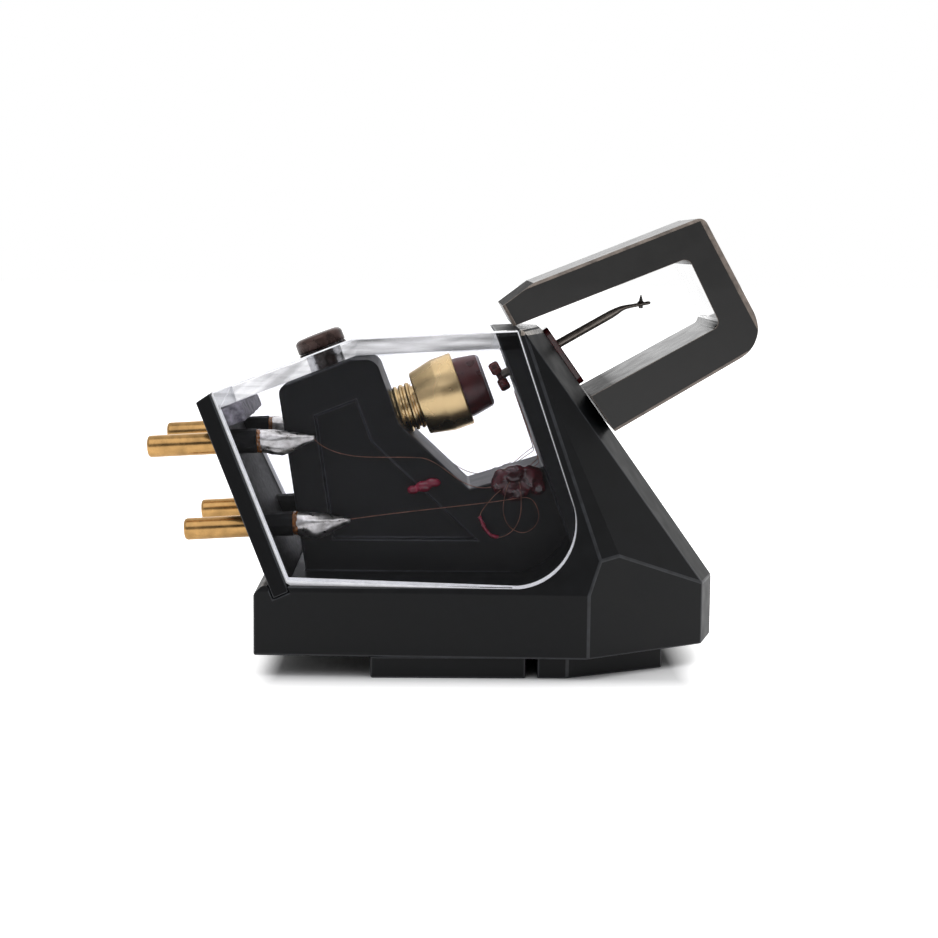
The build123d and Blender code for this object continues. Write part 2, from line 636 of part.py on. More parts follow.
def stylus():
    """Diamond through the flattened tip, ground to a point."""
    shank = extrude(RegularPolygon(STYLUS_R, 8), TIP_THICK + STYLUS_R)
    ground = math.degrees(math.atan(0.8 * STYLUS_R / STYLUS_POINT))
    point = extrude(RegularPolygon(STYLUS_R, 8), STYLUS_POINT, taper=ground)
    return Pos(STYLUS_FOOT[0], 0, TIP_TOP_Z) * (Pos(0, 0, -TIP_THICK - STYLUS_R) * shank + point)


def damper():
    """Rubber ring in the nose's bore, round the cantilever at its pivot."""
    ring = Circle(BORE_R - DAMPER_GAP) - Circle(CANTILEVER_R + PIVOT_GAP)
    foot = along(PIVOT, CANTILEVER_TILT, DAMPER_INSET)
    return slanted(foot, CANTILEVER_TILT) * extrude(ring, DAMPER_LENGTH)


def front_collar():
    """Thin dark red plate on the sloped front, with the mouth of the bore through it."""
    mouth = meet(PIVOT, CANTILEVER_TILT, FRONT_FOOT, FRONT_TURN)
    plate = RectangleRounded(COLLAR_WIDTH, COLLAR_UP + COLLAR_DOWN, COLLAR_CORNER_R)
    plate = Pos(0, (COLLAR_UP - COLLAR_DOWN) / 2) * plate - Circle(COLLAR_BORE_R)
    return slanted(mouth, FRONT_TURN - 90) * extrude(plate, COLLAR_THICK)


def stylus_guard():
    """Bevelled U whose upper leg lies over the nose and whose lower leg ends on the wedge's front."""
    under = (GUARD_REAR_X, meet((GUARD_REAR_X, 0), 90, KNEE, ROOF_RISE)[1] + GUARD_GAP)
    inner_top = along(under, GUARD_TOP_RISE, GUARD_TOP_LENGTH)
    over = along(under, GUARD_TOP_RISE + 90, GUARD_TOP_THICK)
    web_turn = -GUARD_WEB_LEAN
    web_out = along(inner_top, web_turn + 90, GUARD_WEB_THICK)
    outer_turn = web_turn + GUARD_WEB_TAPER
    lower_end = along(meet((0, GUARD_LOWER_Z), 0, FRONT_FOOT, FRONT_TURN), FRONT_TURN - 90, GUARD_GAP)
    inner_low = meet(lower_end, GUARD_LOWER_RISE, inner_top, web_turn)
    out_turn = GUARD_LOWER_RISE + GUARD_LOWER_TAPER
    below = along(lower_end, FRONT_TURN + 180, GUARD_LOWER_THICK / sin(FRONT_SLOPE + GUARD_LOWER_RISE))
    heel = meet(below, out_turn, web_out, outer_turn)
    corner = meet(over, GUARD_TOP_RISE, web_out, outer_turn)
    end_top = along(under, GUARD_END_TURN, GUARD_END_THICK)
    bevel_end = along(over, GUARD_TOP_RISE, GUARD_END_BEVEL)
    outline = [under, inner_top, inner_low, lower_end, below, heel, corner, bevel_end, end_top]
    rounded = {inner_top: GUARD_INNER_R, inner_low: GUARD_INNER_R, heel: GUARD_HEEL_R,
               corner: GUARD_CORNER_R}
    guard = prism(outline, GUARD_HALF, rounded)

    middle = Vector((inner_top[0] + inner_low[0]) / 2, 0, (inner_top[1] + inner_low[1]) / 2)
    bevels = ((over, GUARD_TOP_RISE, 90, GUARD_BEVEL), (web_out, outer_turn, 90, GUARD_WEB_BEVEL),
              (below, out_turn, -90, GUARD_BEVEL), (end_top, GUARD_END_TURN, 90, GUARD_BEVEL))
    for start, turn, out, width in bevels:
        inset = along(start, turn + out + 180, width)
        ahead = along(start, turn, 1)
        for side in (-1, 1):
            edge = side * (GUARD_HALF - width)
            guard = trim(guard, (start[0], edge, start[1]), (ahead[0], edge, ahead[1]),
                         (inset[0], side * GUARD_HALF, inset[1]), inner=middle)
    return guard


CHANNEL_PINS = {"right_signal": (1, -1), "right_return": (0, -1),
                "left_signal": (1, 1), "left_return": (0, 1)}


def all_parts():
    """Every piece by its name."""
    parts = {"body": body(), "cover": cover(), "cover_screw": cover_screw(),
             "terminal_plate": terminal_plate(), "sealing_strip": sealing_strip(),
             "lacquer_dab": lacquer_dab(), "magnet_carrier": magnet_carrier(), "magnet": magnet(),
             "armature": armature(), "cantilever": cantilever(), "stylus": stylus(),
             "damper": damper(), "front_collar": front_collar(), "stylus_guard": stylus_guard(),
             "lead_lacquer_right": lead_lacquer(-1), "lead_lacquer_left": lead_lacquer(1)}
    for channel, (row, side) in CHANNEL_PINS.items():
        parts["pin_" + channel] = pin(row, side)
        parts["solder_" + channel] = solder_joint(row, side)
        parts["lead_" + channel] = lead(row, side)
    for name, turn in ARM_TURNS.items():
        parts[name] = coil(turn)
    return parts


os.makedirs("parts", exist_ok=True)
for node, solid in all_parts().items():
    export_step(solid, "parts/" + node + ".step")
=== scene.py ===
"""Dresses the phono cartridge: frame, clear cover, terminals, generator, cantilever and stylus guard."""

import json
import math

import bmesh
import bpy
from mathutils import Matrix, Vector, noise


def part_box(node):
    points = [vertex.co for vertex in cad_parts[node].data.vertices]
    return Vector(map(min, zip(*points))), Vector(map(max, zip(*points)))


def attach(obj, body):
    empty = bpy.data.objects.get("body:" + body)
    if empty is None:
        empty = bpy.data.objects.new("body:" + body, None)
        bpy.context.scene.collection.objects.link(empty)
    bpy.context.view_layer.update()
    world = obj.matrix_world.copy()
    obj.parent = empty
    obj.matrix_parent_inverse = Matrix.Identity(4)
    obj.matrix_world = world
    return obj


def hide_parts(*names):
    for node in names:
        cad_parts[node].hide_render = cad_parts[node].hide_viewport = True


bl_info = {
    "name": "Phono cartridge",
    "version": (1, 0, 0),
    "blender": (4, 5, 0),
    "location": "View3D > Sidebar > Cartridge",
    "description": "Builds the looks of a moving-coil phono cartridge around its solids",
    "category": "Add Mesh",
}

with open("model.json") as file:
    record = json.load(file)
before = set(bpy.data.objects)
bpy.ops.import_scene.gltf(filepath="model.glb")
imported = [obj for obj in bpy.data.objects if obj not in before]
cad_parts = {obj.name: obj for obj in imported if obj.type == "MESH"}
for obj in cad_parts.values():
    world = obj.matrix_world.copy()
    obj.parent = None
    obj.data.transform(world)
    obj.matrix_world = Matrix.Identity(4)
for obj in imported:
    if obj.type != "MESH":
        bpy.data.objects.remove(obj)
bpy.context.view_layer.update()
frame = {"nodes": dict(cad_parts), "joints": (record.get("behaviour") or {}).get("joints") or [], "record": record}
NODES = frame["nodes"]
MOUNTS = {m["name"]: m for m in frame["record"]["mounts"]}
JOINTS = {j["name"]: j for j in frame["joints"]}

MM = 0.001
CHANNELS = ("right_signal", "right_return", "left_signal", "left_return")
COILS = ("coil_right_upper", "coil_left_upper", "coil_right_lower", "coil_left_lower")
ACROSS = Vector((0, 1, 0))


def rising(degrees):
    """Direction in the side view at an angle above +X."""
    angle = math.radians(degrees)
    return Vector((math.cos(angle), 0, math.sin(angle)))


def square(direction):
    """Direction in the side view a quarter turn above another."""
    return Vector((-direction.z, 0, direction.x))


# Places and directions in the side view. Millimetres from the cantilever's pivot: forward to the damper's
# middle, back to the armature, and back along the magnet to the pillar's face
DAMPER_AHEAD, ARMATURE_BACK, PILLAR_BACK = 0.5, 0.62, 6.88
MAGNET_RISE = 20.5
SWEEP = Vector(JOINTS["cantilever_sweep"]["axis"])
CANTILEVER_DIR = Vector((SWEEP.z, 0, -SWEEP.x))
MAGNET_DIR = rising(MAGNET_RISE)
FRONT_OUT = rising(35.4)
PIN_DIR = -Vector(MOUNTS["pin_right_signal"]["axis"])
DAMPER_MIDDLE = Vector(JOINTS["cantilever_lift"]["pos_m"])
PIVOT = DAMPER_MIDDLE - CANTILEVER_DIR * DAMPER_AHEAD * MM
ARMATURE = PIVOT - CANTILEVER_DIR * ARMATURE_BACK * MM
PILLAR_FACE = PIVOT - MAGNET_DIR * PILLAR_BACK * MM

# The cover's roof: its knee, the two falls from it in degrees, its thickness, the screw's seat and its hole
KNEE = Vector((-7.07, 0, 18.473)) * MM
ROOF_FALLS = (21.4, 3.3)
ROOF_THICK = 1.04 * MM
SCREW_SEAT = Vector((-9.0, 0, 17.717)) * MM
SCREW_HOLE_R = 1.3 * MM

# Along a pin from its outer end, in millimetres: chamfer, the plate's outer face, the solder's root
PIN_CHAMFER = 0.16
PIN_OUT = 3.9
SOLDER_AT = 6.19
PIN_R = 0.625
PLATE_LEAN = math.radians(66.8)


# Small helpers

def linear(code, alpha=1.0):
    """sRGB hex to the linear colour that a shader takes."""
    values = [int(code[i:i + 2], 16) / 255 for i in (1, 3, 5)]
    return [v / 12.92 if v <= 0.04045 else ((v + 0.055) / 1.055) ** 2.4 for v in values] + [alpha]


def tones(colour, low=0.75, high=1.3):
    """Darker and lighter tone of a linear colour."""
    return [[min(c * share, 1.0) for c in colour[:3]] + [1.0] for share in (low, high)]


def per_mm(size):
    """Texture scale at which one feature is size millimetres wide."""
    return 1.0 / (size * MM)


def add(tree, kind, inputs=None, **settings):
    """Adds a node with its settings; an input is a value, a socket, or a node whose first output feeds it."""
    made = tree.nodes.new(kind)
    for name, value in settings.items():
        setattr(made, name, value)
    for key, value in (inputs or {}).items():
        if isinstance(value, bpy.types.Node):
            value = value.outputs[0]
        if isinstance(value, bpy.types.NodeSocket):
            tree.links.new(value, made.inputs[key])
        else:
            made.inputs[key].default_value = value
    return made


def calc(tree, operation, *values):
    """Math node on its values in order."""
    return add(tree, "ShaderNodeMath", dict(enumerate(values)), operation=operation)


def vector_calc(tree, operation, *values):
    """Vector math node on its values in order."""
    return add(tree, "ShaderNodeVectorMath", dict(enumerate(values)), operation=operation)


def ranged(tree, value, source, target=(0.0, 1.0)):
    """Map range node from the limits of source to those of target."""
    return add(tree, "ShaderNodeMapRange", {"Value": value, "From Min": source[0], "From Max": source[1],
                                            "To Min": target[0], "To Max": target[1]})


def blend(tree, share, colours):
    """Colour socket between two colours."""
    mixed = add(tree, "ShaderNodeMix", {"Factor": share, 6: colours[0], 7: colours[1]}, data_type="RGBA")
    return mixed.outputs[2]


def mesh_from(verts, faces, name):
    """Mesh with outward normals from points and faces."""
    mesh = bpy.data.meshes.new(name)
    mesh.from_pydata(verts, [], faces)
    work = bmesh.new()
    work.from_mesh(mesh)
    bmesh.ops.remove_doubles(work, verts=work.verts, dist=1e-8)
    bmesh.ops.recalc_face_normals(work, faces=work.faces)
    work.to_mesh(mesh)
    work.free()
    return mesh


def smooth(mesh, angle=35):
    """Smooth shading that breaks at edges sharper than angle."""
    mesh.shade_smooth()
    mesh.set_sharp_from_angle(angle=math.radians(angle))
    return mesh


def place(origin, direction, across=ACROSS):
    """Matrix whose Z runs along direction and whose X runs along across."""
    z = direction.normalized()
    x = (across - z * across.dot(z)).normalized()
    turn = Matrix((x, z.cross(x), z)).transposed().to_4x4()
    return Matrix.Translation(origin) @ turn


def skin(rows, name, closed=False):
    """Mesh over rings of points in millimetres; the ends are capped, or joined to each other where closed."""
    count = len(rows[0])
    verts = [Vector(p) * MM for row in rows for p in row]
    faces = []
    for k in range(len(rows) if closed else len(rows) - 1):
        n = (k + 1) % len(rows)
        for i in range(count):
            j = (i + 1) % count
            faces.append((k * count + i, k * count + j, n * count + j, n * count + i))
    if not closed:
        faces.append(tuple(reversed(range(count))))
        faces.append(tuple(range(len(verts) - count, len(verts))))
    return mesh_from(verts, faces, name)


def circle(height, radius, steps):
    """Ring of points about local Z."""
    angles = [2 * math.pi * i / steps for i in range(steps)]
    return [(radius * math.cos(a), radius * math.sin(a), height) for a in angles]


def lathe(profile, name, steps=64, closed=False):
    """Turned form about local Z from (height, radius) pairs; a closed profile gives a ring."""
    return skin([circle(height, radius, steps) for height, radius in profile], name, closed)


def corner(start, end, bulge, steps=5):
    """Quarter-round from start to end in a turned profile; bulge is the corner between them."""
    points = []
    for i in range(steps + 1):
        a = math.pi / 2 * i / steps
        u, v = 1 - math.sin(a), 1 - math.cos(a)
        points.append(tuple(bulge[k] + (start[k] - bulge[k]) * u + (end[k] - bulge[k]) * v for k in (0, 1)))
    return points


def piece(name, mesh, materials, body, nodes):
    """Object for a finished mesh: rides on its body, stands for its CAD nodes and takes its materials."""
    mesh.name = name
    while len(mesh.materials) < len(materials):
        mesh.materials.append(None)
    while len(mesh.materials) > len(materials):
        mesh.materials.pop()
    for index, material in enumerate(materials):
        mesh.materials[index] = material
    made = bpy.data.objects.new(name, mesh)
    bpy.context.scene.collection.objects.link(made)
    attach(made, body)
    if nodes:
        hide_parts(*nodes)
    return made


def scratch(name, data):
    """Linked helper object that is settled or removed before the piece is finished."""
    made = bpy.data.objects.new(name, data)
    bpy.context.scene.collection.objects.link(made)
    return made


def settled(made):
    """Plain mesh of an object's evaluated result; the object itself is removed."""
    bpy.context.view_layer.update()
    evaluated = made.evaluated_get(bpy.context.evaluated_depsgraph_get())
    mesh = bpy.data.meshes.new_from_object(evaluated)
    bpy.data.objects.remove(made)
    return mesh


def modify(made, kind, **settings):
    """Adds a modifier with its settings to a helper object."""
    modifier = made.modifiers.new(kind.lower(), kind)
    for name, value in settings.items():
        setattr(modifier, name, value)
    return modifier


def from_work(work, name):
    """Plain mesh of a bmesh, which is freed."""
    mesh = bpy.data.meshes.new(name)
    work.to_mesh(mesh)
    work.free()
    return mesh


def roughen(mesh, height, size, sunk=0.0):
    """Pushes a mesh in and out by a noise, in millimetres; sunk moves all of it inwards by that share."""
    for vertex in mesh.vertices:
        vertex.co += vertex.normal * height * MM * (noise.noise(vertex.co / (size * MM)) - sunk)
    return smooth(mesh, 180)


def merged_copy(node):
    """Copy of a CAD node's mesh with its loose triangles merged and its flat faces joined."""
    work = bmesh.new()
    work.from_mesh(NODES[node].data)
    bmesh.ops.remove_doubles(work, verts=work.verts, dist=2e-7)
    bmesh.ops.dissolve_limit(work, angle_limit=math.radians(0.4), verts=work.verts, edges=work.edges)
    for face in work.faces:
        face.material_index = 0
    return work


# Material slots that a rounded mesh keeps for its finishes
FINISH_SLOTS = 6


def rounded(work, width, angle=18, length=0.4, area=0.25, segments=2, inside=True, clamp=False, share=None):
    """Mesh of a merged copy with a narrow round on its long edges; the rounds take material 1.

    angle is the least turn of such an edge in degrees, length its least millimetres and area the least of its
    faces; inside takes the hollow edges too. share gives the part of the width from the materials at an edge.
    """
    layer = work.edges.layers.float.new("bevel_weight_edge")
    for edge in work.edges:
        if len(edge.link_faces) != 2 or not (inside or edge.is_convex):
            continue
        wide = all(f.calc_area() > area * MM * MM for f in edge.link_faces)
        if wide and math.degrees(edge.calc_face_angle(0)) > angle and edge.calc_length() > length * MM:
            edge[layer] = share({f.material_index for f in edge.link_faces}) if share else 1.0
    mesh = from_work(work, "rounded")
    for _ in range(FINISH_SLOTS):
        mesh.materials.append(None)
    made = scratch("rounded", mesh)
    modify(made, "BEVEL", limit_method="WEIGHT", width=width, segments=segments, use_clamp_overlap=clamp,
           material=1, harden_normals=True)
    return settled(made)


def run_tree(tree, data, values):
    """Evaluates a node tree on a mesh or curve, with its named inputs set, and returns the plain mesh."""
    made = scratch(tree.name, data)
    modifier = made.modifiers.new("build", "NODES")
    modifier.node_group = tree
    names = {item.name: item.identifier for item in tree.interface.items_tree if item.in_out == "INPUT"}
    for name, value in values.items():
        modifier[names[name]] = value
    return settled(made)


def new_tree(name, sockets):
    """Geometry node tree with a geometry input and output and the named inputs."""
    tree = bpy.data.node_groups.new(name, "GeometryNodeTree")
    tree.interface.new_socket("Geometry", in_out="INPUT", socket_type="NodeSocketGeometry")
    tree.interface.new_socket("Geometry", in_out="OUTPUT", socket_type="NodeSocketGeometry")
    for label, kind in sockets.items():
        tree.interface.new_socket(label, in_out="INPUT", socket_type="NodeSocket" + kind)
    return tree, add(tree, "NodeGroupInput").outputs, add(tree, "NodeGroupOutput").inputs


def end_tree(tree, source, material, out):
    """Real geometry with its material at the end of a tree."""
    real = add(tree, "GeometryNodeRealizeInstances", {"Geometry": source})
    last = add(tree, "GeometryNodeSetMaterial", {"Geometry": real, "Material": material})
    tree.links.new(last.outputs[0], out["Geometry"])


# Finishes

# What each is made of: two tones, grain in millimetres, two roughnesses, bump and further settings.
# The tones are sRGB codes, or shares of a colour from the panel
FINISHES = {
    # Glass-filled moulding from a satin tool: near-black, grey where it turns to the light
    "glass_filled_moulding": (0.75, 1.3, 1.2, (0.42, 0.5), 0.03,
                              {"depth": 0.006, "detail": 1.0, "specular_ior_level": 0.23}),
    # The same moulding on its rounded edges: a thin paler, smoother line
    "rubbed_moulding_edge": (3.0, 7.0, 0.5, (0.36, 0.48), 0.05, {"depth": 0.006, "detail": 1.0}),
    # Clear cement dried on the nose where the cover meets it: beige and milky, glossy
    "dried_clear_cement": ("#6b6058", "#d9d0c5", 0.45, (0.15, 0.3), 0.3, {"depth": 0.03}),
    # Phenolic board, machined: dead black, dull
    "phenolic_board": (0.5, 0.9, 0.3, (0.5, 0.65), 0.1, {"depth": 0.008, "specular_ior_level": 0.2}),
    # ABS moulding of the guard: dark warm grey, satin, bright where it is seen at a low angle
    "abs_guard": (0.85, 1.15, 1.2, (0.34, 0.42), 0.03, {"depth": 0.006, "detail": 1.0, "coat_weight": 0.15}),
    # The guard's bevels: paler, with a faint brown warmth, painted as a warm highlight
    "abs_guard_edge": ("#5a514a", "#8d8076", 0.6, (0.36, 0.5), 0.1, {"depth": 0.008}),
    # The web inside the guard, from a polished core: it mirrors the room at a low angle
    "abs_guard_inside": (0.9, 1.5, 1.2, (0.14, 0.22), 0.03,
                         {"depth": 0.006, "detail": 1.0, "coat_weight": 1.0}),
    # The lower leg's inner face
    "abs_guard_floor": (0.9, 1.5, 1.2, (0.24, 0.32), 0.03, {"depth": 0.006, "detail": 1.0}),
    # The cut end of the guard's upper leg: dull and dark
    "abs_guard_cut": (0.8, 1.2, 0.6, (0.6, 0.75), 0.1, {"specular_ior_level": 0.1}),
    # Scraped acrylic edge: frosted, with a painted glow, an emission that stands in for the light the clear walls
    # carry to it
    "frosted_acrylic_edge": (0.55, 0.85, 0.5, (0.3, 0.5), 0.1,
                             {"emission_color": (0.95, 0.96, 1.0, 1.0), "emission_strength": 0.32}),
    # Gold plate on turned brass: warm yellow metal with brown clouds
    "gold_plate": (0.75, 1.2, 0.8, (0.18, 0.28), 0.05, {"metallic": 1.0, "depth": 0.006}),
    # Tin-lead solder, hand made: crumpled silver skin with dull hollows
    "tin_lead_solder": ("#b0ada8", "#fbf9f5", 0.4, (0.26, 0.42), 0.25,
                        {"metallic": 1.0, "depth": 0.06, "detail": 1.5}),
    # Burnt flux at the root of the solder: amber brown, glassy
    "burnt_flux": ("#3a1c0a", "#9a5f22", 0.25, (0.1, 0.25), 0.4, {"depth": 0.04, "coat_weight": 0.5}),
    # Free-cutting brass, turned: pale satin yellow
    "turned_brass": (0.93, 1.05, 1.5, (0.24, 0.3), 0.0, {"metallic": 1.0, "detail": 1.0}),
    # Sintered magnet dipped in dark red lacquer: deep, uneven and half glossy
    "lacquered_magnet": (0.5, 1.2, 1.0, (0.25, 0.4), 0.06,
                         {"depth": 0.02, "detail": 1.5, "coat_weight": 0.2}),
    # The magnet's bevel: a pale, half-metallic line that is a painted highlight
    "ground_magnet_bevel": ("#b4abaf", "#ddd6da", 0.4, (0.25, 0.35), 0.05, {"metallic": 0.5}),
    # Dried lacquer over wire: dark wine red, wet gloss, wrinkled
    "wine_lacquer": (0.35, 1.2, 0.5, (0.1, 0.22), 0.5, {"depth": 0.06, "detail": 1.5, "coat_weight": 0.3}),
    # Fresh drop of the same lacquer: brighter crimson where it is thin
    "crimson_lacquer": (0.5, 1.2, 0.5, (0.16, 0.3), 0.2, {"depth": 0.03, "detail": 1.0, "coat_weight": 0.3}),
    # Enamelled copper wire: dull reddish brown
    "enamelled_copper": ("#5f4236", "#9a6c5a", 0.5, (0.3, 0.45), 0.1, {"metallic": 0.6, "depth": 0.004}),
    # Fine copper winding soaked in lacquer: dark red-brown, glossy on each turn
    "lacquered_winding": ("#561718", "#7e2b29", 0.2, (0.2, 0.38), 0.2, {"depth": 0.02, "coat_weight": 0.4}),
    # Anodised drawn tube: grey-brown, satin, with one bright line of light
    "anodised_tube": ("#7a726b", "#9a928a", 0.5, (0.3, 0.4), 0.05,
                      {"metallic": 0.6, "depth": 0.006, "detail": 1.0}),
    # Soft iron stamping soaked in the windings' lacquer: dark red-brown
    "lacquered_iron": ("#2b1113", "#5a1f20", 0.2, (0.25, 0.4), 0.2, {"metallic": 0.4}),
    # Ground diamond on its stub: smoky brown, smooth
    "ground_diamond": ("#2b2520", "#4c433b", 0.1, (0.08, 0.2), 0.1, {"depth": 0.004, "ior": 2.0}),
    # Butyl rubber: flat black
    "butyl_rubber": ("#0e0e0e", "#191818", 0.15, (0.6, 0.8), 0.3, {}),
    # Thin lacquered plate round the bore's mouth: dark red, glossy
    "lacquered_plate": ("#34100f", "#642327", 0.5, (0.16, 0.3), 0.1, {"depth": 0.02, "coat_weight": 0.5}),
    # Closed foam strip soaked with glue: mottled grey and violet
    "glued_foam": ("#47444c", "#a9a5ad", 0.5, (0.45, 0.7), 0.4, {"depth": 0.06}),
    # Black-oxide steel screw: red-brown black with an oily gloss
    "black_oxide_steel": ("#2e201d", "#58433e", 0.6, (0.22, 0.34), 0.05, {"metallic": 0.5}),
}
# Limits between which the noise of a grain or of a streak runs from its first tone to its second
GRAIN, STREAK = (0.3, 0.7), (0.35, 0.65)


def blank(name):
    """New material with an empty node tree."""
    material = bpy.data.materials.new(name)
    material.use_nodes = True
    material.node_tree.nodes.clear()
    return material, material.node_tree


def finish(name, colours, grain, roughness, bump, metallic=0.0, depth=0.01, detail=3.0, **sockets):
    """Principled material: two linear colours and roughnesses mixed by a grain, which also gives its bump.

    grain and depth are millimetres; sockets are plain values set on the shader itself.
    """
    material, tree = blank(name)
    where = add(tree, "ShaderNodeTexCoord").outputs["Object"]
    cloud = add(tree, "ShaderNodeTexNoise", {"Vector": where, "Scale": per_mm(grain), "Detail": detail,
                                             "Roughness": 0.6})
    relief = add(tree, "ShaderNodeBump", {"Height": cloud, "Strength": bump, "Distance": depth * MM})
    shader = add(tree, "ShaderNodeBsdfPrincipled", {
        "Base Color": blend(tree, ranged(tree, cloud, GRAIN), colours),
        "Roughness": ranged(tree, cloud, GRAIN, roughness), "Normal": relief, "Metallic": metallic})
    for label, value in sockets.items():
        shader.inputs[label.replace("_", " ").title().replace("Ior", "IOR")].default_value = value
    add(tree, "ShaderNodeOutputMaterial", {"Surface": shader})
    return material


def look(name, tint=None):
    """Material from the table of finishes, in tones of the tint where one is given."""
    low, high, grain, roughness, bump, more = FINISHES[name]
    colours = [linear(low), linear(high)] if tint is None else tones(tint, low, high)
    return finish(name, colours, grain, roughness, bump, **more)


def feed(material, label, source):
    """Links a node's first output to an input of a material's shader."""
    tree = material.node_tree
    shader = next(n for n in tree.nodes if n.type == "BSDF_PRINCIPLED")
    tree.links.new(source.outputs[0], shader.inputs[label])
    return material


def guard_floor(tint):
    """The lower leg's inner face, with a painted sheen: its specular level rises along X from the open end to the
    web.
    """
    material = look("abs_guard_floor", tint)
    tree = material.node_tree
    along = add(tree, "ShaderNodeSeparateXYZ", {0: add(tree, "ShaderNodeTexCoord").outputs["Object"]})
    painted_sheen = ranged(tree, along.outputs["X"], (7.5 * MM, 15 * MM), (0.004, 0.45))
    return feed(material, "Specular IOR Level", painted_sheen)


def turned_brass(tint):
    """The carrier's brass with fine rings square to its axis."""
    material = look("turned_brass", tint)
    tree = material.node_tree
    where = add(tree, "ShaderNodeTexCoord").outputs["Object"]
    along = add(tree, "ShaderNodeMapping", {"Vector": where, "Rotation": (0, math.radians(MAGNET_RISE), 0)})
    rings = add(tree, "ShaderNodeTexWave", {"Vector": along, "Scale": per_mm(0.6), "Distortion": 0.3,
                                            "Detail": 1.0}, bands_direction="X")
    relief = add(tree, "ShaderNodeBump", {"Height": rings.outputs["Fac"], "Strength": 0.02,
                                          "Distance": 0.01 * MM})
    return feed(material, "Normal", relief)


def acrylic(name, colours, streak, roughness):
    """Cast acrylic with its tint in streaks of the given lengths in millimetres; lamps reach through it."""
    material, tree = blank(name)
    where = add(tree, "ShaderNodeTexCoord").outputs["Object"]
    drawn = add(tree, "ShaderNodeMapping", {"Vector": where, "Scale": [per_mm(v) for v in streak]})
    cloud = add(tree, "ShaderNodeTexNoise", {"Vector": drawn, "Scale": 1.0, "Detail": 3.0})
    relief = add(tree, "ShaderNodeBump", {"Height": cloud, "Strength": 0.05, "Distance": 0.02 * MM})
    glass = add(tree, "ShaderNodeBsdfPrincipled", {
        "Base Color": blend(tree, ranged(tree, cloud, STREAK), colours), "Roughness": roughness, "IOR": 1.49,
        "Transmission Weight": 1.0, "Specular IOR Level": 0.12, "Normal": relief})
    through = add(tree, "ShaderNodeBsdfTransparent", {"Color": linear("#f2f4f5")})
    shadow = add(tree, "ShaderNodeLightPath").outputs["Is Shadow Ray"]
    both = add(tree, "ShaderNodeMixShader", {0: shadow, 1: glass, 2: through})
    add(tree, "ShaderNodeOutputMaterial", {"Surface": both})
    return material


def wall_acrylic(colour):
    """Polished side walls: clear and nearly free of reflections."""
    return acrylic("polished_acrylic", tones(colour, 0.96, 1.0), (4.0, 4.0, 4.0), 0.0)


def roof_acrylic_painted_shade(part, colour, low, high):
    """The roof seen through its whole width: pale lavender grey with long streaks; the tones that the caller gives
    are painted shade.
    """
    return acrylic("thick_acrylic_" + part, tones(colour, low, high), (5.0, 4.0, 0.45), 0.06)


# Settings

def length(label, size, text):
    """Property for a size, given in millimetres."""
    return bpy.props.FloatProperty(name=label, description=text, default=size * MM, min=0.0, precision=6,
                                   unit="LENGTH")


def shade(label, code, text):
    """Property for a colour, given as sRGB hex."""
    return bpy.props.FloatVectorProperty(name=label, description=text, default=linear(code)[:3], size=3,
                                         min=0.0, max=1.0, subtype="COLOR")


class MouldingSettings(bpy.types.PropertyGroup):
    """Sizes and colours of the moulded and clear pieces."""
    edge_round: length("Edge round", 0.1, "Round on the frame's edges")
    guard_round: length("Guard round", 0.06, "Round on the guard's edges")
    cover_edge: length("Cover edge", 0.32, "Width of the cover's scraped edges")
    frame_colour: shade("Frame", "#0b0c0e", "Colour of the frame and the board")
    guard_colour: shade("Guard", "#171615", "Colour of the stylus guard")
    cover_colour: shade("Cover", "#f4f4f8", "Tint of the clear cover")


class MetalSettings(bpy.types.PropertyGroup):
    """Sizes and colours of the metal, the wires and the lacquer."""
    lead_radius: length("Lead radius", 0.024, "Radius of the leads")
    solder_lumps: length("Solder lumps", 0.06, "Height of the lumps in the solder")
    coil_turns: bpy.props.IntProperty(name="Coil turns", description="Turns that show on each winding",
                                      default=7, min=3, max=20)
    pin_colour: shade("Pins", "#bf965f", "Colour of the plated pins")
    brass_colour: shade("Carrier", "#f6d79e", "Colour of the turned carrier")
    magnet_colour: shade("Magnet", "#521416", "Colour of the magnet's coat")
    lacquer_colour: shade("Lacquer", "#4a0e18", "Colour of the lacquer over the leads")
    drop_colour: shade("Lacquer drop", "#851633", "Colour of the loose lacquer drop")


# Pieces

# Dried cement on the nose: how far it reaches down from the top and from which x, in millimetres, and the
# material of its faces
CEMENT_DEPTH, CEMENT_FROM, CEMENT = 0.35, 2.3, 2


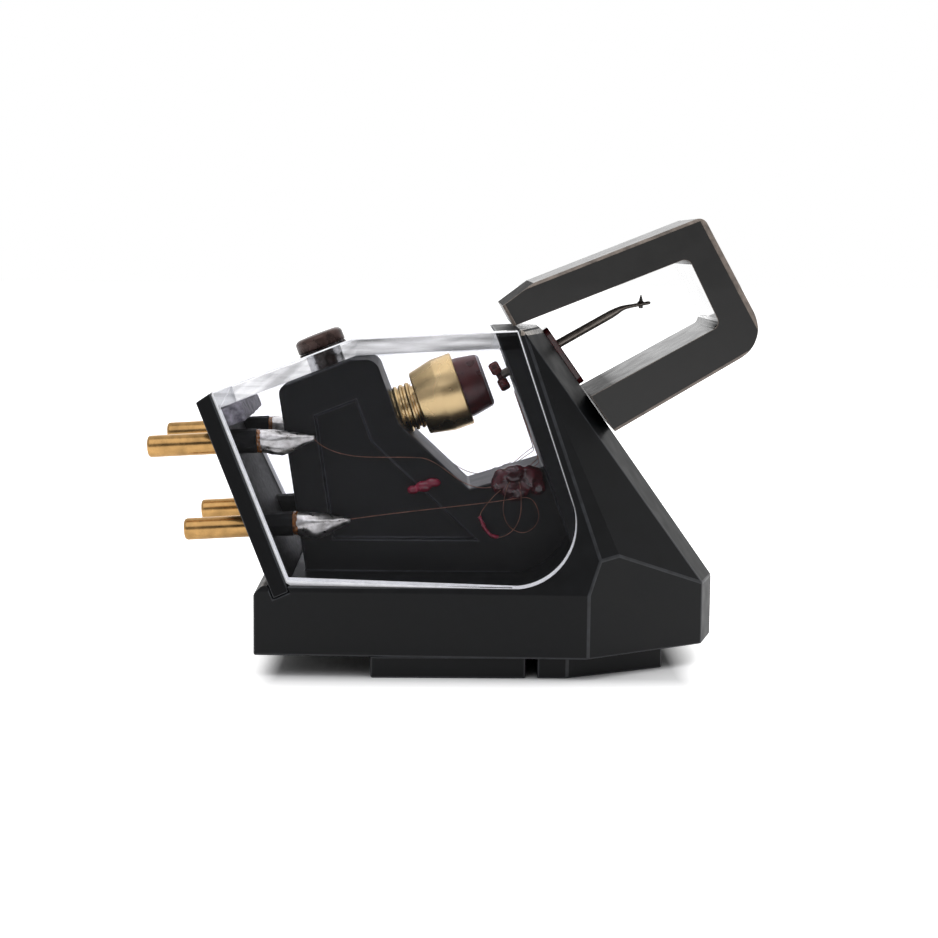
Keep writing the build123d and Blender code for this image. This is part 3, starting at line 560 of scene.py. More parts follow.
class CARTRIDGE_OT_frame(bpy.types.Operator):
    """Makes the moulded frame, the terminal board and its sealing strip"""
    bl_idname = "cartridge.frame"
    bl_label = "Frame and board"

    def execute(self, context):
        given = context.scene.cartridge_moulding
        edge = look("rubbed_moulding_edge", given.frame_colour)
        work = merged_copy("body")
        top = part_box("body")[1].z - CEMENT_DEPTH * MM
        for point, normal in (((0, 0, top), (0, 0, 1)), ((CEMENT_FROM * MM, 0, 0), (1, 0, 0))):
            near = [f for f in work.faces if max(v.co.z for v in f.verts) > top - 1e-6]
            touched = {e for f in near for e in f.edges}
            corners = {v for f in near for v in f.verts}
            bmesh.ops.bisect_plane(work, geom=list(corners) + list(touched) + near, dist=1e-7, plane_co=point,
                                   plane_no=normal)
        for face in work.faces:
            spot = face.calc_center_median()
            if spot.z > top and spot.x > CEMENT_FROM * MM:
                face.material_index = CEMENT
        moulding = rounded(work, given.edge_round)
        finishes = [look("glass_filled_moulding", given.frame_colour), edge, look("dried_clear_cement")]
        piece("frame_moulding", moulding, finishes, "cartridge", ["body"])
        board = rounded(merged_copy("terminal_plate"), 0.6 * given.edge_round, angle=40)
        finishes = [look("phenolic_board", given.frame_colour), edge]
        piece("terminal_board", board, finishes, "cartridge", ["terminal_plate"])
        strip = scratch("strip", rounded(merged_copy("sealing_strip"), 1.5 * given.edge_round))
        modify(strip, "REMESH", mode="VOXEL", voxel_size=0.09 * MM)
        foam = roughen(settled(strip), 0.08, 0.7, sunk=0.6)
        piece("sealing_foam", foam, [look("glued_foam")], "cartridge", ["sealing_strip"])
        return {"FINISHED"}


def roof_planes():
    """Point and normal of the two planes under the cover's roof."""
    planes = []
    for fall in ROOF_FALLS:
        normal = square(rising(fall))
        planes.append((KNEE - normal * ROOF_THICK, normal))
    return planes


# Materials of the cover's faces
WALL, SCRAPED, ROOF_SLOPE, REAR_RIM, ROOF_FLAT, NOSE_RIM = range(6)


def scraped_share(kinds):
    """Share of the scraped width for an edge between faces of these materials."""
    if kinds <= {ROOF_SLOPE, ROOF_FLAT}:
        return 0.25
    return 0.5 if REAR_RIM in kinds else 0.2 if NOSE_RIM in kinds else 1.0


class CARTRIDGE_OT_cover(bpy.types.Operator):
    """Makes the clear cover with its streaky roof in painted shade and its frosted edges with a painted glow"""
    bl_idname = "cartridge.cover"
    bl_label = "Clear cover"

    def execute(self, context):
        given = context.scene.cartridge_moulding
        work = merged_copy("cover")
        planes = roof_planes()
        for point, normal in planes:
            bmesh.ops.bisect_plane(work, geom=work.verts[:] + work.edges[:] + work.faces[:], dist=1e-7,
                                   plane_co=point, plane_no=normal)
        screw_out = planes[0][1]
        for face in work.faces:
            spot = face.calc_center_median()
            in_roof = any((spot - point).dot(normal) > -1e-6 for point, normal in planes)
            in_hole = (spot - SCREW_SEAT).cross(screw_out).length < SCREW_HOLE_R
            if in_roof and (abs(face.normal.x) < 0.6 or in_hole):
                face.material_index = ROOF_FLAT if spot.x > KNEE.x else ROOF_SLOPE
            elif abs(face.normal.y) < 0.5:
                facing = face.normal.x
                face.material_index = REAR_RIM if facing < -0.5 else NOSE_RIM if facing > 0.85 else SCRAPED
        shell = rounded(work, given.cover_edge, segments=1, inside=False, share=scraped_share)
        tint = given.cover_colour
        # The frosted edges glow with painted light
        frosted = look("frosted_acrylic_edge", tint)
        # The roof's tones are painted shade, darker on the flat part than on the slope
        finishes = [wall_acrylic(tint), frosted, roof_acrylic_painted_shade("slope", tint, 0.4, 0.95), frosted,
                    roof_acrylic_painted_shade("flat", tint, 0.16, 0.68), frosted]
        piece("clear_cover", shell, finishes, "cartridge", ["cover"])
        return {"FINISHED"}


class CARTRIDGE_OT_screw(bpy.types.Operator):
    """Makes the button-head screw with its hexagon socket"""
    bl_idname = "cartridge.screw"
    bl_label = "Cover screw"

    def execute(self, context):
        head_r, head_h, shank_r, shank_l, socket, deep, steps = 1.43, 0.84, 0.9, 3.6, 0.75, 0.5, 48
        profile = [(-shank_l, shank_r - 0.12), (-shank_l + 0.12, shank_r), (0, shank_r), (0, head_r - 0.12)]
        profile += corner((0, head_r - 0.12), (0.12, head_r), (0, head_r), 3)
        profile += corner((head_h - 0.32, head_r), (head_h, head_r - 0.4), (head_h, head_r), 7)
        rows = [circle(height, radius, steps) for height, radius in profile]
        for height, share in ((head_h, 1.06), (head_h - 0.05, 1.0), (head_h - deep, 1.0)):
            hexagon = []
            for x, y, z in circle(height, socket * share, steps):
                turn = math.atan2(y, x) % (math.pi / 3) - math.pi / 6
                reach = math.cos(math.pi / 6) / math.cos(turn)
                hexagon.append((x * reach, y * reach, z))
            rows.append(hexagon)
        screw = skin(rows, "screw")
        screw.transform(place(SCREW_SEAT, roof_planes()[0][1]))
        steel = look("black_oxide_steel")
        piece("cover_screw_head", smooth(screw), [steel], "cartridge", ["cover_screw"])
        return {"FINISHED"}


def pin_ends():
    """Outer end of each pin, in the order of the channels."""
    ends = []
    for channel in CHANNELS:
        mount = MOUNTS["pin_" + channel]
        ends.append(Vector(mount["pos_m"]) - PIN_DIR * (mount["dims"]["length_mm"] / 2 + PIN_CHAMFER) * MM)
    return ends


def on_points_tree(name):
    """Puts a form on each point, turned to the pins' rise, and pushes lumps out of it by a noise."""
    tree, given, out = new_tree(name, {"Form": "Object", "Rise": "Float",
                                       "Lumps": "Float", "Lump size": "Float",
                                       "Material": "Material"})
    form = add(tree, "GeometryNodeObjectInfo", {"Object": given["Form"]}, transform_space="ORIGINAL")
    turn = add(tree, "ShaderNodeCombineXYZ", {"Y": given["Rise"]})
    copies = add(tree, "GeometryNodeInstanceOnPoints", {"Points": given["Geometry"],
                                                        "Instance": form.outputs["Geometry"],
                                                        "Rotation": turn})
    real = add(tree, "GeometryNodeRealizeInstances", {"Geometry": copies})
    size = calc(tree, "DIVIDE", 1.0, given["Lump size"])
    cloud = add(tree, "ShaderNodeTexNoise", {"Vector": add(tree, "GeometryNodeInputPosition"), "Scale": size,
                                             "Detail": 1.5, "Roughness": 0.5})
    height = calc(tree, "MULTIPLY", calc(tree, "SUBTRACT", cloud, 0.5), given["Lumps"])
    push = add(tree, "ShaderNodeVectorMath", {0: add(tree, "GeometryNodeInputNormal"), "Scale": height},
               operation="SCALE")
    moved = add(tree, "GeometryNodeSetPosition", {"Geometry": real, "Offset": push})
    end_tree(tree, moved, given["Material"], out)
    return tree


def points_mesh(name, points):
    """Mesh of bare points for a tree to work on."""
    mesh = bpy.data.meshes.new(name)
    mesh.from_pydata([tuple(p) for p in points], [], [])
    return mesh


def drop_form(name, rows):
    """Lump about local Z from (height, up, down, wide) rows in millimetres; down is local X."""
    rings = []
    for height, up, down, wide in rows:
        ring = circle(height, 1.0, 40)
        rings.append([(x * (down if x > 0 else up), y * wide, z) for x, y, z in ring])
    form = scratch(name, skin(rings, name))
    modify(form, "SUBSURF", levels=1, render_levels=1)
    return scratch(name, settled(form))


# Colour-code enamel round the pins, darker and lighter
PIN_PAINT = {"right_signal": ("#6d0f10", "#8f1c19"), "right_return": ("#1f4a16", "#3b6b22"),
             "left_signal": ("#c9c6bd", "#e6e3da"), "left_return": ("#152a5c", "#243f80")}


class CARTRIDGE_OT_terminals(bpy.types.Operator):
    """Makes the gold pins, the paint round them and the solder inside"""
    bl_idname = "cartridge.terminals"
    bl_label = "Pins and solder"

    def execute(self, context):
        given = context.scene.cartridge_metal
        ends = pin_ends()
        rise = math.pi / 2 - math.asin(PIN_DIR.z)
        tip = corner((0, 0.42), (0.2, PIN_R), (0, PIN_R), 5)
        profile = [(0, 0.2)] + tip + [(PIN_OUT + 0.3, PIN_R), (SOLDER_AT + 0.1, 0.45)]
        pin = scratch("pin_form", smooth(lathe(profile, "pin_form", 56)))
        root = [(0.0, 0.3, 0.3, 0.3), (0.02, 0.6, 0.62, 0.6), (0.3, 0.64, 0.7, 0.66)]
        solder = drop_form("solder_form", root + [
            (0.8, 0.6, 0.84, 0.72), (1.2, 0.54, 0.9, 0.74), (1.6, 0.47, 0.86, 0.68), (2.0, 0.38, 0.7, 0.55),
            (2.4, 0.28, 0.48, 0.4), (2.75, 0.2, 0.3, 0.28), (3.0, 0.15, 0.2, 0.2), (3.2, 0.13, 0.15, 0.16),
            (3.25, 0.08, 0.1, 0.1)])
        flux = drop_form("flux_form", [
            (-0.1, 0.4, 0.4, 0.4), (-0.08, 0.6, 0.6, 0.6), (0.05, 0.64, 0.66, 0.65), (0.2, 0.64, 0.69, 0.66),
            (0.34, 0.6, 0.66, 0.62), (0.36, 0.4, 0.4, 0.4)])
        roots = [end + PIN_DIR * SOLDER_AT * MM for end in ends]
        gold, silver = look("gold_plate", given.pin_colour), look("tin_lead_solder")
        amber = look("burnt_flux")
        nodes = {kind: [kind + "_" + c for c in CHANNELS] for kind in ("pin", "solder")}
        for name, form, points, lumps, material, replaced, slot in (
                ("gold_pins", pin, ends, 0.0, gold, nodes["pin"], "gold_pin"),
                ("solder_drops", solder, roots, 4 * given.solder_lumps, silver, nodes["solder"], "solder"),
                ("burnt_flux_rings", flux, roots, 5 * given.solder_lumps, amber, [], "solder")):
            made = run_tree(on_points_tree(name), points_mesh(name, points), {
                "Form": form, "Rise": rise, "Lumps": lumps, "Lump size": 0.5 * MM, "Material": material})
            bpy.data.objects.remove(form)
            piece(name, smooth(made, 180 if lumps else 35), [material], "cartridge", replaced)

        face_out = Vector((-math.sin(PLATE_LEAN), 0, -math.cos(PLATE_LEAN)))
        for channel, end in zip(CHANNELS, ends):
            spot = lathe([(-0.02, 0.63), (-0.02, 0.98), (0.02, 0.96), (0.035, 0.9), (0.035, 0.7),
                          (0.03, 0.63)], "paint", 40, closed=True)
            spot.transform(place(end + PIN_DIR * PIN_OUT * MM, face_out))
            colours = [linear(code) for code in PIN_PAINT[channel]]
            enamel = finish("enamel_" + channel, colours, 0.3, (0.3, 0.45), 0.3, depth=0.02)
            piece("paint_" + channel, smooth(spot), [enamel], "cartridge", [])
        return {"FINISHED"}


# Routes of the two leads of a side in millimetres, (x, distance from Y = 0, z); the return lies in two loops
LEAD_ROUTES = {
    "signal": [(-9.2, 3.87, 12.72), (-8.9, 3.86, 12.4), (-8.0, 3.78, 11.95), (-6.9, 3.65, 11.72),
               (-5.8, 3.5, 11.66), (-3.9, 3.3, 11.66), (-2.6, 3.2, 11.6), (-0.3, 3.2, 9.75),
               (1.9, 3.35, 10.2), (3.2, 3.1, 11.4), (3.5, 2.8, 11.6), (3.36, 2.5, 12.0), (2.95, 1.8, 13.15),
               (2.22, 0.95, 15.15)],
    "return": [(-7.15, 3.88, 8.18), (-5.8, 3.78, 8.37), (-3.47, 3.7, 8.65), (0.79, 3.6, 9.15),
               (1.95, 3.6, 9.34), (3.0, 3.62, 9.5), (3.43, 3.65, 8.95), (3.55, 3.68, 8.3), (3.28, 3.7, 7.7),
               (2.6, 3.72, 7.36), (1.85, 3.74, 7.7), (1.5, 3.75, 8.4), (1.48, 3.72, 9.1), (1.7, 3.66, 10.2),
               (2.2, 3.66, 10.7), (2.45, 3.7, 10.18), (2.52, 3.74, 9.0), (2.45, 3.78, 8.3), (2.15, 3.8, 7.65),
               (1.66, 3.8, 7.27), (1.2, 3.8, 7.15), (0.72, 3.8, 7.3), (0.36, 3.78, 7.85), (0.1, 3.75, 8.4),
               (0.5, 3.7, 9.0), (1.2, 3.62, 9.8), (2.5, 3.4, 10.6), (3.3, 3.2, 11.2), (3.56, 3.0, 11.4),
               (3.44, 2.7, 11.8), (3.05, 2.0, 12.9), (2.42, 1.15, 14.65)],
}
# Part of the near return's loop that is coated, x and z at COATED_Y
COATED_Y = -3.79
COATED = [(1.25, 7.2), (0.98, 7.21), (0.73, 7.33), (0.52, 7.6), (0.38, 7.86), (0.24, 8.14), (0.13, 8.36)]
# Blobs of a side's lacquer: x, outward, z and three radii; the far lump lies FAR_DROP lower. Blobs of
# the drop: centre and radii
LUMP_BLOBS = ((1.4, 3.3, 10.3, 0.62, 0.4, 0.75), (2.1, 3.36, 10.7, 0.75, 0.45, 0.6),
              (2.2, 3.36, 9.85, 0.85, 0.42, 0.65), (3.0, 3.34, 10.5, 0.8, 0.42, 0.75),
              (3.4, 3.28, 10.1, 0.55, 0.36, 0.6))
FAR_DROP = 0.7
DROP_BLOBS = (((-3.6, -3.2, 9.8), (0.36, 0.3, 0.24)), ((-3.05, -3.25, 9.98), (0.5, 0.34, 0.33)),
              ((-2.5, -3.2, 10.2), (0.44, 0.28, 0.27)))


def wire_tree():
    """Round wire along a curve."""
    tree, given, out = new_tree("wire", {"Radius": "Float", "Material": "Material"})
    section = add(tree, "GeometryNodeCurvePrimitiveCircle", {"Resolution": 8, "Radius": given["Radius"]})
    tube = add(tree, "GeometryNodeCurveToMesh", {"Curve": given["Geometry"], "Profile Curve": section,
                                                 "Fill Caps": True})
    end_tree(tree, tube, given["Material"], out)
    return tree


def route_curve(name, points):
    """Smooth NURBS line through the run of a route."""
    curve = bpy.data.curves.new(name, "CURVE")
    curve.dimensions = "3D"
    spline = curve.splines.new("NURBS")
    spline.points.add(len(points) - 1)
    for point, co in zip(spline.points, points):
        point.co = (*[c * MM for c in co], 1)
    spline.order_u = 3
    spline.use_endpoint_u = True
    spline.resolution_u = 8
    return curve


def lump(blobs, voxel, rough, name):
    """One uneven lump grown together from (centre, radii) blobs in millimetres."""
    work = bmesh.new()
    for centre, radii in blobs:
        spot = Matrix.Translation(Vector(centre) * MM) @ Matrix.Diagonal(Vector((*radii, 1000.0)) * MM)
        bmesh.ops.create_icosphere(work, subdivisions=3, radius=1.0, matrix=spot)
    made = scratch(name, from_work(work, name))
    modify(made, "REMESH", mode="VOXEL", voxel_size=voxel * MM)
    modify(made, "SMOOTH", iterations=6)
    return roughen(settled(made), rough, 0.45)


class CARTRIDGE_OT_leads(bpy.types.Operator):
    """Makes the hair-thin leads and the lacquer that holds them"""
    bl_idname = "cartridge.leads"
    bl_label = "Leads and lacquer"

    def execute(self, context):
        given = context.scene.cartridge_metal
        copper, wine = look("enamelled_copper"), look("wine_lacquer", given.lacquer_colour)
        crimson = look("crimson_lacquer", given.drop_colour)
        tree = wire_tree()
        for channel in CHANNELS:
            hand, kind = channel.split("_")
            side = -1 if hand == "right" else 1
            points = [(x, side * y, z) for x, y, z in LEAD_ROUTES[kind]]
            wire = run_tree(tree, route_curve("route", points), {"Radius": given.lead_radius,
                                                                 "Material": copper})
            piece("lead_" + channel + "_wire", smooth(wire, 60), [copper], "cartridge", ["lead_" + channel])
        for hand, side, drop in (("right", -1, 0.0), ("left", 1, FAR_DROP)):
            blobs = [((x, side * y, z - drop), radii) for x, y, z, *radii in LUMP_BLOBS]
            piece("lacquer_lump_" + hand, lump(blobs, 0.05, 0.08, "lump"), [wine], "cartridge",
                  ["lead_lacquer_" + hand])
        piece("lacquer_drop", lump(DROP_BLOBS, 0.045, 0.05, "drop"), [crimson], "cartridge", ["lacquer_dab"])
        sleeve = run_tree(tree, route_curve("coated", [(x, COATED_Y, z) for x, z in COATED]),
                          {"Radius": 0.1 * MM, "Material": crimson})
        piece("lacquer_sleeve", roughen(sleeve, 0.05, 0.25), [crimson], "cartridge", [])
        return {"FINISHED"}


def thread_tree():
    """Helical ridge about Z, joined to the form that carries it."""
    tree, given, out = new_tree("thread", {"Core radius": "Float", "Length": "Float",
                                           "Turns": "Float", "Ridge": "Float",
                                           "Material": "Material"})
    core = given["Core radius"]
    helix = add(tree, "GeometryNodeCurveSpiral", {"Resolution": 40, "Rotations": given["Turns"],
                                                  "Start Radius": core, "End Radius": core,
                                                  "Height": given["Length"]})
    section = add(tree, "GeometryNodeCurvePrimitiveCircle", {"Resolution": 8, "Radius": given["Ridge"]})
    ridge = add(tree, "GeometryNodeCurveToMesh", {"Curve": helix, "Profile Curve": section,
                                                  "Fill Caps": True})
    both = add(tree, "GeometryNodeJoinGeometry")
    tree.links.new(ridge.outputs[0], both.inputs[0])
    tree.links.new(given["Geometry"], both.inputs[0])
    end_tree(tree, both, given["Material"], out)
    return tree


class CARTRIDGE_OT_generator(bpy.types.Operator):
    """Makes the turned magnet carrier with its thread, and the magnet"""
    bl_idname = "cartridge.generator"
    bl_label = "Magnet and carrier"

    def execute(self, context):
        given = context.scene.cartridge_metal
        step, cone_end, rim_end, front = 1.35, 2.75, 4.0, 5.5
        profile = [(-3.0, 1.27), (step - 0.16, 1.27), (step - 0.16, 1.12), (step, 1.12), (step, 1.78)]
        profile += corner((step, 1.78), (step + 0.1, 1.88), (step, 1.87), 3)
        profile += [(cone_end, 2.17), (cone_end + 0.06, 2.18)]
        profile += corner((rim_end - 0.1, 2.18), (rim_end, 2.08), (rim_end, 2.18), 4)
        profile += [(rim_end, 1.8), (rim_end - 0.7, 1.8)]
        brass = turned_brass(given.brass_colour)
        turned = run_tree(thread_tree(), lathe(profile, "barrel", 96), {
            "Core radius": 1.3 * MM, "Length": 1.3 * MM, "Turns": 3.6, "Ridge": 0.13 * MM, "Material": brass})
        turned.transform(place(PILLAR_FACE, MAGNET_DIR))
        piece("brass_carrier", smooth(turned, 40), [brass], "cartridge", ["magnet_carrier"])

        form = [(rim_end - 0.7, 1.76), (rim_end, 1.78), (rim_end + 0.25, 1.77)]
        form += corner((front - 0.28, 1.6), (front, 1.32), (front, 1.58), 7)
        stone = lathe(form, "magnet", 96)
        stone.transform(place(PILLAR_FACE, MAGNET_DIR))
        for face in stone.polygons:
            # The bevel faces take the pale painted highlight
            face.material_index = int(0.4 < face.normal.dot(MAGNET_DIR) < 0.985)
        finishes = [look("lacquered_magnet", given.magnet_colour), look("ground_magnet_bevel")]
        piece("magnet_stone", smooth(stone, 50), finishes, "cartridge", ["magnet"])
        return {"FINISHED"}


def winding_tree():
    """Stack of turns along Z."""
    tree, given, out = new_tree("winding", {"Turn": "Object", "Turns": "Int",
                                            "Pitch": "Float", "Start": "Float",
                                            "Material": "Material"})
    form = add(tree, "GeometryNodeObjectInfo", {"Object": given["Turn"]}, transform_space="ORIGINAL")
    first = add(tree, "ShaderNodeCombineXYZ", {"Z": given["Start"]})
    step = add(tree, "ShaderNodeCombineXYZ", {"Z": given["Pitch"]})
    line = add(tree, "GeometryNodeMeshLine", {"Count": given["Turns"], "Start Location": first,
                                              "Offset": step})
    stack = add(tree, "GeometryNodeInstanceOnPoints", {"Points": line, "Instance": form.outputs["Geometry"]})
    end_tree(tree, stack, given["Material"], out)
    return tree


def rounded_square(half, corner_r, height, steps=5):
    """Ring of points on a rounded square, in millimetres."""
    points = []
    for k, (sx, sy) in enumerate(((1, 1), (-1, 1), (-1, -1), (1, -1))):
        for i in range(steps + 1):
            a = math.pi / 2 * (k + i / steps)
            points.append((sx * (half - corner_r) + corner_r * math.cos(a),
                           sy * (half - corner_r) + corner_r * math.sin(a), height))
    return points


def oval(centre, rise, wide, tall, steps=32):
    """Ring of points round a centre given in metres, in millimetres."""
    angles = [2 * math.pi * i / steps for i in range(steps)]
    return [centre / MM + ACROSS * wide * math.cos(a) + rise * tall * math.sin(a) for a in angles]


# Share of its thickness by which the plate round the bore is made thicker
PLATE_GROWTH = 1.3


class CARTRIDGE_OT_moving(bpy.types.Operator):
    """Makes the cantilever, stylus, armature and windings, the damper and the plate round the bore"""
    bl_idname = "cartridge.moving"
    bl_label = "Cantilever and windings"

    def execute(self, context):
        up = square(CANTILEVER_DIR)
        low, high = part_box("stylus")
        point, seat = 0.45, 0.11
        foot = Vector(((low.x + high.x) / 2, 0, high.z - (point + seat) * MM))
        tip_dir = rising(11)
        tip_up = square(tip_dir)
        bend = foot - tip_dir * 1.05 * MM
        run = (bend - ARMATURE).length / MM

        rows = [oval(ARMATURE + CANTILEVER_DIR * s * MM, up, r, r) for s, r in (
            (-0.15, 0.2), (-0.13, 0.255), (2.4, 0.265), (4.0, 0.255), (run - 1.4, 0.245), (run - 0.8, 0.24))]
        for s, wide, tall in (
                (-0.45, 0.25, 0.21), (-0.15, 0.27, 0.165), (0.15, 0.29, 0.13), (0.45, 0.3, 0.115),
                (1.0, 0.31, 0.108), (1.5, 0.31, 0.105), (1.585, 0.29, 0.08), (1.6, 0.26, 0.05)):
            share = min(max((s + 0.45) / 0.9, 0), 1)
            rows.append(oval(bend + (CANTILEVER_DIR if s < 0 else tip_dir) * s * MM,
                             up.lerp(tip_up, share).normalized(), wide, tall))
        tube = smooth(skin(rows, "tube"), 50)
        piece("cantilever_tube", tube, [look("anodised_tube")], "moving_system", ["cantilever"])

        stone = lathe([(-0.35, 0.1), (-0.33, 0.125), (0.06, 0.125), (0.14, 0.11), (point - 0.04, 0.035),
                       (point, 0.012)], "stone", 16)
        glue = lathe([(-0.02, 0.12), (-0.02, 0.24), (0.02, 0.2), (0.07, 0.14)], "glue", 24, closed=True)
        work = bmesh.new()
        work.from_mesh(stone)
        work.from_mesh(glue)
        work.to_mesh(stone)
        work.free()
        stone.transform(Matrix.Translation(foot + Vector((0, 0, seat * MM))))
        piece("stylus_stone", smooth(stone), [look("ground_diamond")], "moving_system", ["stylus"])

        coil_length, coil_start, half, bend_r = 0.42, 0.54, 0.3, 0.2
        turns = context.scene.cartridge_metal.coil_turns
        thick = coil_length / turns
        turn = skin([rounded_square(half - 0.03, bend_r, 0.0), rounded_square(half, bend_r, thick / 2),
                     rounded_square(half - 0.03, bend_r, thick), rounded_square(0.15, 0.03, thick),
                     rounded_square(0.15, 0.03, 0.0)], "turn_form", closed=True)
        turn = scratch("turn_form", smooth(turn, 60))
        enamel = look("lacquered_winding")
        tree = winding_tree()
        for index, name in enumerate(COILS):
            stack = run_tree(tree, points_mesh("stack", []), {
                "Turn": turn, "Turns": turns, "Pitch": thick * MM, "Start": coil_start * MM,
                "Material": enamel})
            arm = place(ARMATURE, CANTILEVER_DIR) @ Matrix.Rotation(math.radians(45 + 90 * index), 4, "Z")
            stack.transform(arm @ Matrix.Rotation(math.pi / 2, 4, "Y"))
            piece(name + "_winding", smooth(stack, 60), [enamel], "moving_system", [name])
        bpy.data.objects.remove(turn)

        cross = rounded(merged_copy("armature"), 0.03 * MM, length=0.1, area=0.02)
        iron = look("lacquered_iron")
        piece("armature_cross", cross, [iron, iron], "moving_system", ["armature"])
        rubber = lathe([(-0.3, 0.29), (-0.35, 0.34), (-0.35, 0.62), (-0.28, 0.7), (0.28, 0.7), (0.35, 0.62),
                        (0.35, 0.34), (0.3, 0.29)], "damper", 48, closed=True)
        rubber.transform(place(DAMPER_MIDDLE, CANTILEVER_DIR))
        black = look("butyl_rubber")
        piece("damper_ring", smooth(rubber), [black], "suspension", ["damper"])
        plate = rounded(merged_copy("front_collar"), 0.05 * MM, angle=40, length=0.1, area=0.01)
        back = min(v.co.dot(FRONT_OUT) for v in plate.vertices)
        for vertex in plate.vertices:
            vertex.co += FRONT_OUT * PLATE_GROWTH * (vertex.co.dot(FRONT_OUT) - back)
        red = look("lacquered_plate")
        piece("bore_plate", plate, [red, red], "cartridge", ["front_collar"])
        return {"FINISHED"}


# How much nearer to the frame's sloped front the guard's lower end lies, and how deep that end is taken, in
# millimetres
GUARD_REACH, GUARD_END = 0.12, 0.3
# Materials of the guard's faces: outside, bevels and rounds, web's inside, cut end, lower leg's floor
GUARD_OUTSIDE, GUARD_BEVEL, GUARD_WEB, GUARD_CUT, GUARD_FLOOR = range(5)


class CARTRIDGE_OT_guard(bpy.types.Operator):
    """Makes the slip-on stylus guard"""
    bl_idname = "cartridge.guard"
    bl_label = "Stylus guard"

    def execute(self, context):
        given = context.scene.cartridge_moulding
        work = merged_copy("stylus_guard")
        end = min(v.co.dot(FRONT_OUT) for v in work.verts if v.co.z < PIVOT.z)
        for vertex in work.verts:
            if vertex.co.z < PIVOT.z and vertex.co.dot(FRONT_OUT) < end + GUARD_END * MM:
                vertex.co -= FRONT_OUT * GUARD_REACH * MM
        work.normal_update()
        low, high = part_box("stylus")
        opening = (low + high) / 2
        for face in work.faces:
            out = face.normal
            if abs(out.y) > 0.2:
                # Bevels take the paler, painted warm highlight
                face.material_index = GUARD_BEVEL if abs(out.y) < 0.97 else GUARD_OUTSIDE
            elif (opening - face.calc_center_median()).dot(out) > 0 and out.z > -0.5:
                face.material_index = GUARD_WEB if out.z < 0 else GUARD_FLOOR
            elif out.x < -0.5 and out.z > 0.3:
                face.material_index = GUARD_CUT
        shell = rounded(work, given.guard_round, angle=25, length=0.0, area=0.0, clamp=True)
        tint = given.guard_colour
        finishes = [look("abs_guard", tint), look("abs_guard_edge"), look("abs_guard_inside", tint),
                    look("abs_guard_cut", tint), guard_floor(tint)]
        piece("guard_moulding", shell, finishes, "guard", ["stylus_guard"])
        return {"FINISHED"}


# Stage

# Camera solved from the photo: focal length and width in its pixels, sensor in millimetres, depth in metres
FOCAL_PIXELS, PHOTO_PIXELS, SENSOR = 1840, 938, 36
EYE_DEPTH = 0.108
EYE_PITCH, EYE_YAW, EYE_ROLL = (math.radians(v) for v in (6.91, 1.06, 0.5))
AIM = Vector((-0.41, 0.0, 10.64)) * MM

# The floor: its matt grey, the white that is added beyond the part's footprint, and the share of that white
# in reflections. The white comes in over FADE, sooner along X
FLOOR_GREY, FLOOR_WHITE, FLOOR_MIRRORED = 0.82, 0.95, 0.35
FOOTPRINT = Vector((11.0, 8.0, 0.0)) * MM
FADE, FADE_STRETCH = 6 * MM, (2.7, 1.0, 1.0)

# The room on the camera's side, the sweep behind for light and for reflections, and where along Y they meet;
# the card's direction, the cosines between which it fades in and the share of the room that it leaves
ROOM, SWEEP_LEVELS, MEETING = 0.45, (0.62, 0.85), (-0.5, 0.6)
CARD = Vector((0.0, -math.cos(math.radians(18.6)), math.sin(math.radians(18.6))))
CARD_EDGE, CARD_SHARE = (0.91, 0.974), 0.2

# Lamps: place and size in metres, power in watts, colour, and whether reflections show it
LAMPS = {"overhead": ((0.02, 0.05, 0.3), 0.5, 1.0, "#ffffff", False),
         "behind": ((0.0, 0.3, 0.1), 0.25, 0.12, "#ffffff", True),
         "front_left": ((-0.1, -0.17, 0.24), 0.24, 0.16, "#f8f9ff", True)}
LAMP_AIM = Vector((0, 0, 0.012))


def lamp(name, spot, size, power, colour, mirrored):
    """Soft square lamp that faces the cartridge."""
    data = bpy.data.lights.new(name, "AREA")
    data.size = size
    data.energy = power
    data.color = linear(colour)[:3]
    made = scratch(name, data)
    made.location = spot
    made.rotation_euler = (LAMP_AIM - Vector(spot)).to_track_quat("-Z", "Y").to_euler()
    made.visible_glossy = mirrored


def seen_rays(tree):
    """One for rays that show the background to the camera, straight or through the cover; none for light."""
    ray = add(tree, "ShaderNodeLightPath").outputs
    shown = calc(tree, "MAXIMUM", ray["Is Camera Ray"], ray["Is Transmission Ray"])
    turned = calc(tree, "ADD", ray["Diffuse Depth"], ray["Glossy Depth"])
    return calc(tree, "MULTIPLY", shown, calc(tree, "LESS_THAN", turned, 0.5))


def white_paper():
    """Matt paper; further out a painted glow for camera rays lifts it to white, which hides its shadow away from
    the footprint.
    """
    paper, tree = blank("white_paper")
    matt = add(tree, "ShaderNodeBsdfDiffuse", {"Color": (FLOOR_GREY, FLOOR_GREY, FLOOR_GREY, 1)})
    where = add(tree, "ShaderNodeNewGeometry").outputs["Position"]
    beyond = vector_calc(tree, "SUBTRACT", vector_calc(tree, "ABSOLUTE", where), FOOTPRINT)
    outside = vector_calc(tree, "MAXIMUM", beyond)
    away = vector_calc(tree, "LENGTH", vector_calc(tree, "MULTIPLY", outside, FADE_STRETCH))
    painted_white_glow = ranged(tree, away.outputs["Value"], (0, FADE), (0, FLOOR_WHITE))
    glossy = add(tree, "ShaderNodeLightPath").outputs["Is Glossy Ray"]
    shown = calc(tree, "MAXIMUM", seen_rays(tree), calc(tree, "MULTIPLY", glossy, FLOOR_MIRRORED))
    strength = calc(tree, "MULTIPLY", painted_white_glow, shown)
    glow = add(tree, "ShaderNodeEmission", {"Color": (1, 1, 1, 1), "Strength": strength})
    both = add(tree, "ShaderNodeAddShader", {0: matt, 1: glow})
    add(tree, "ShaderNodeOutputMaterial", {"Surface": both})
    return paper


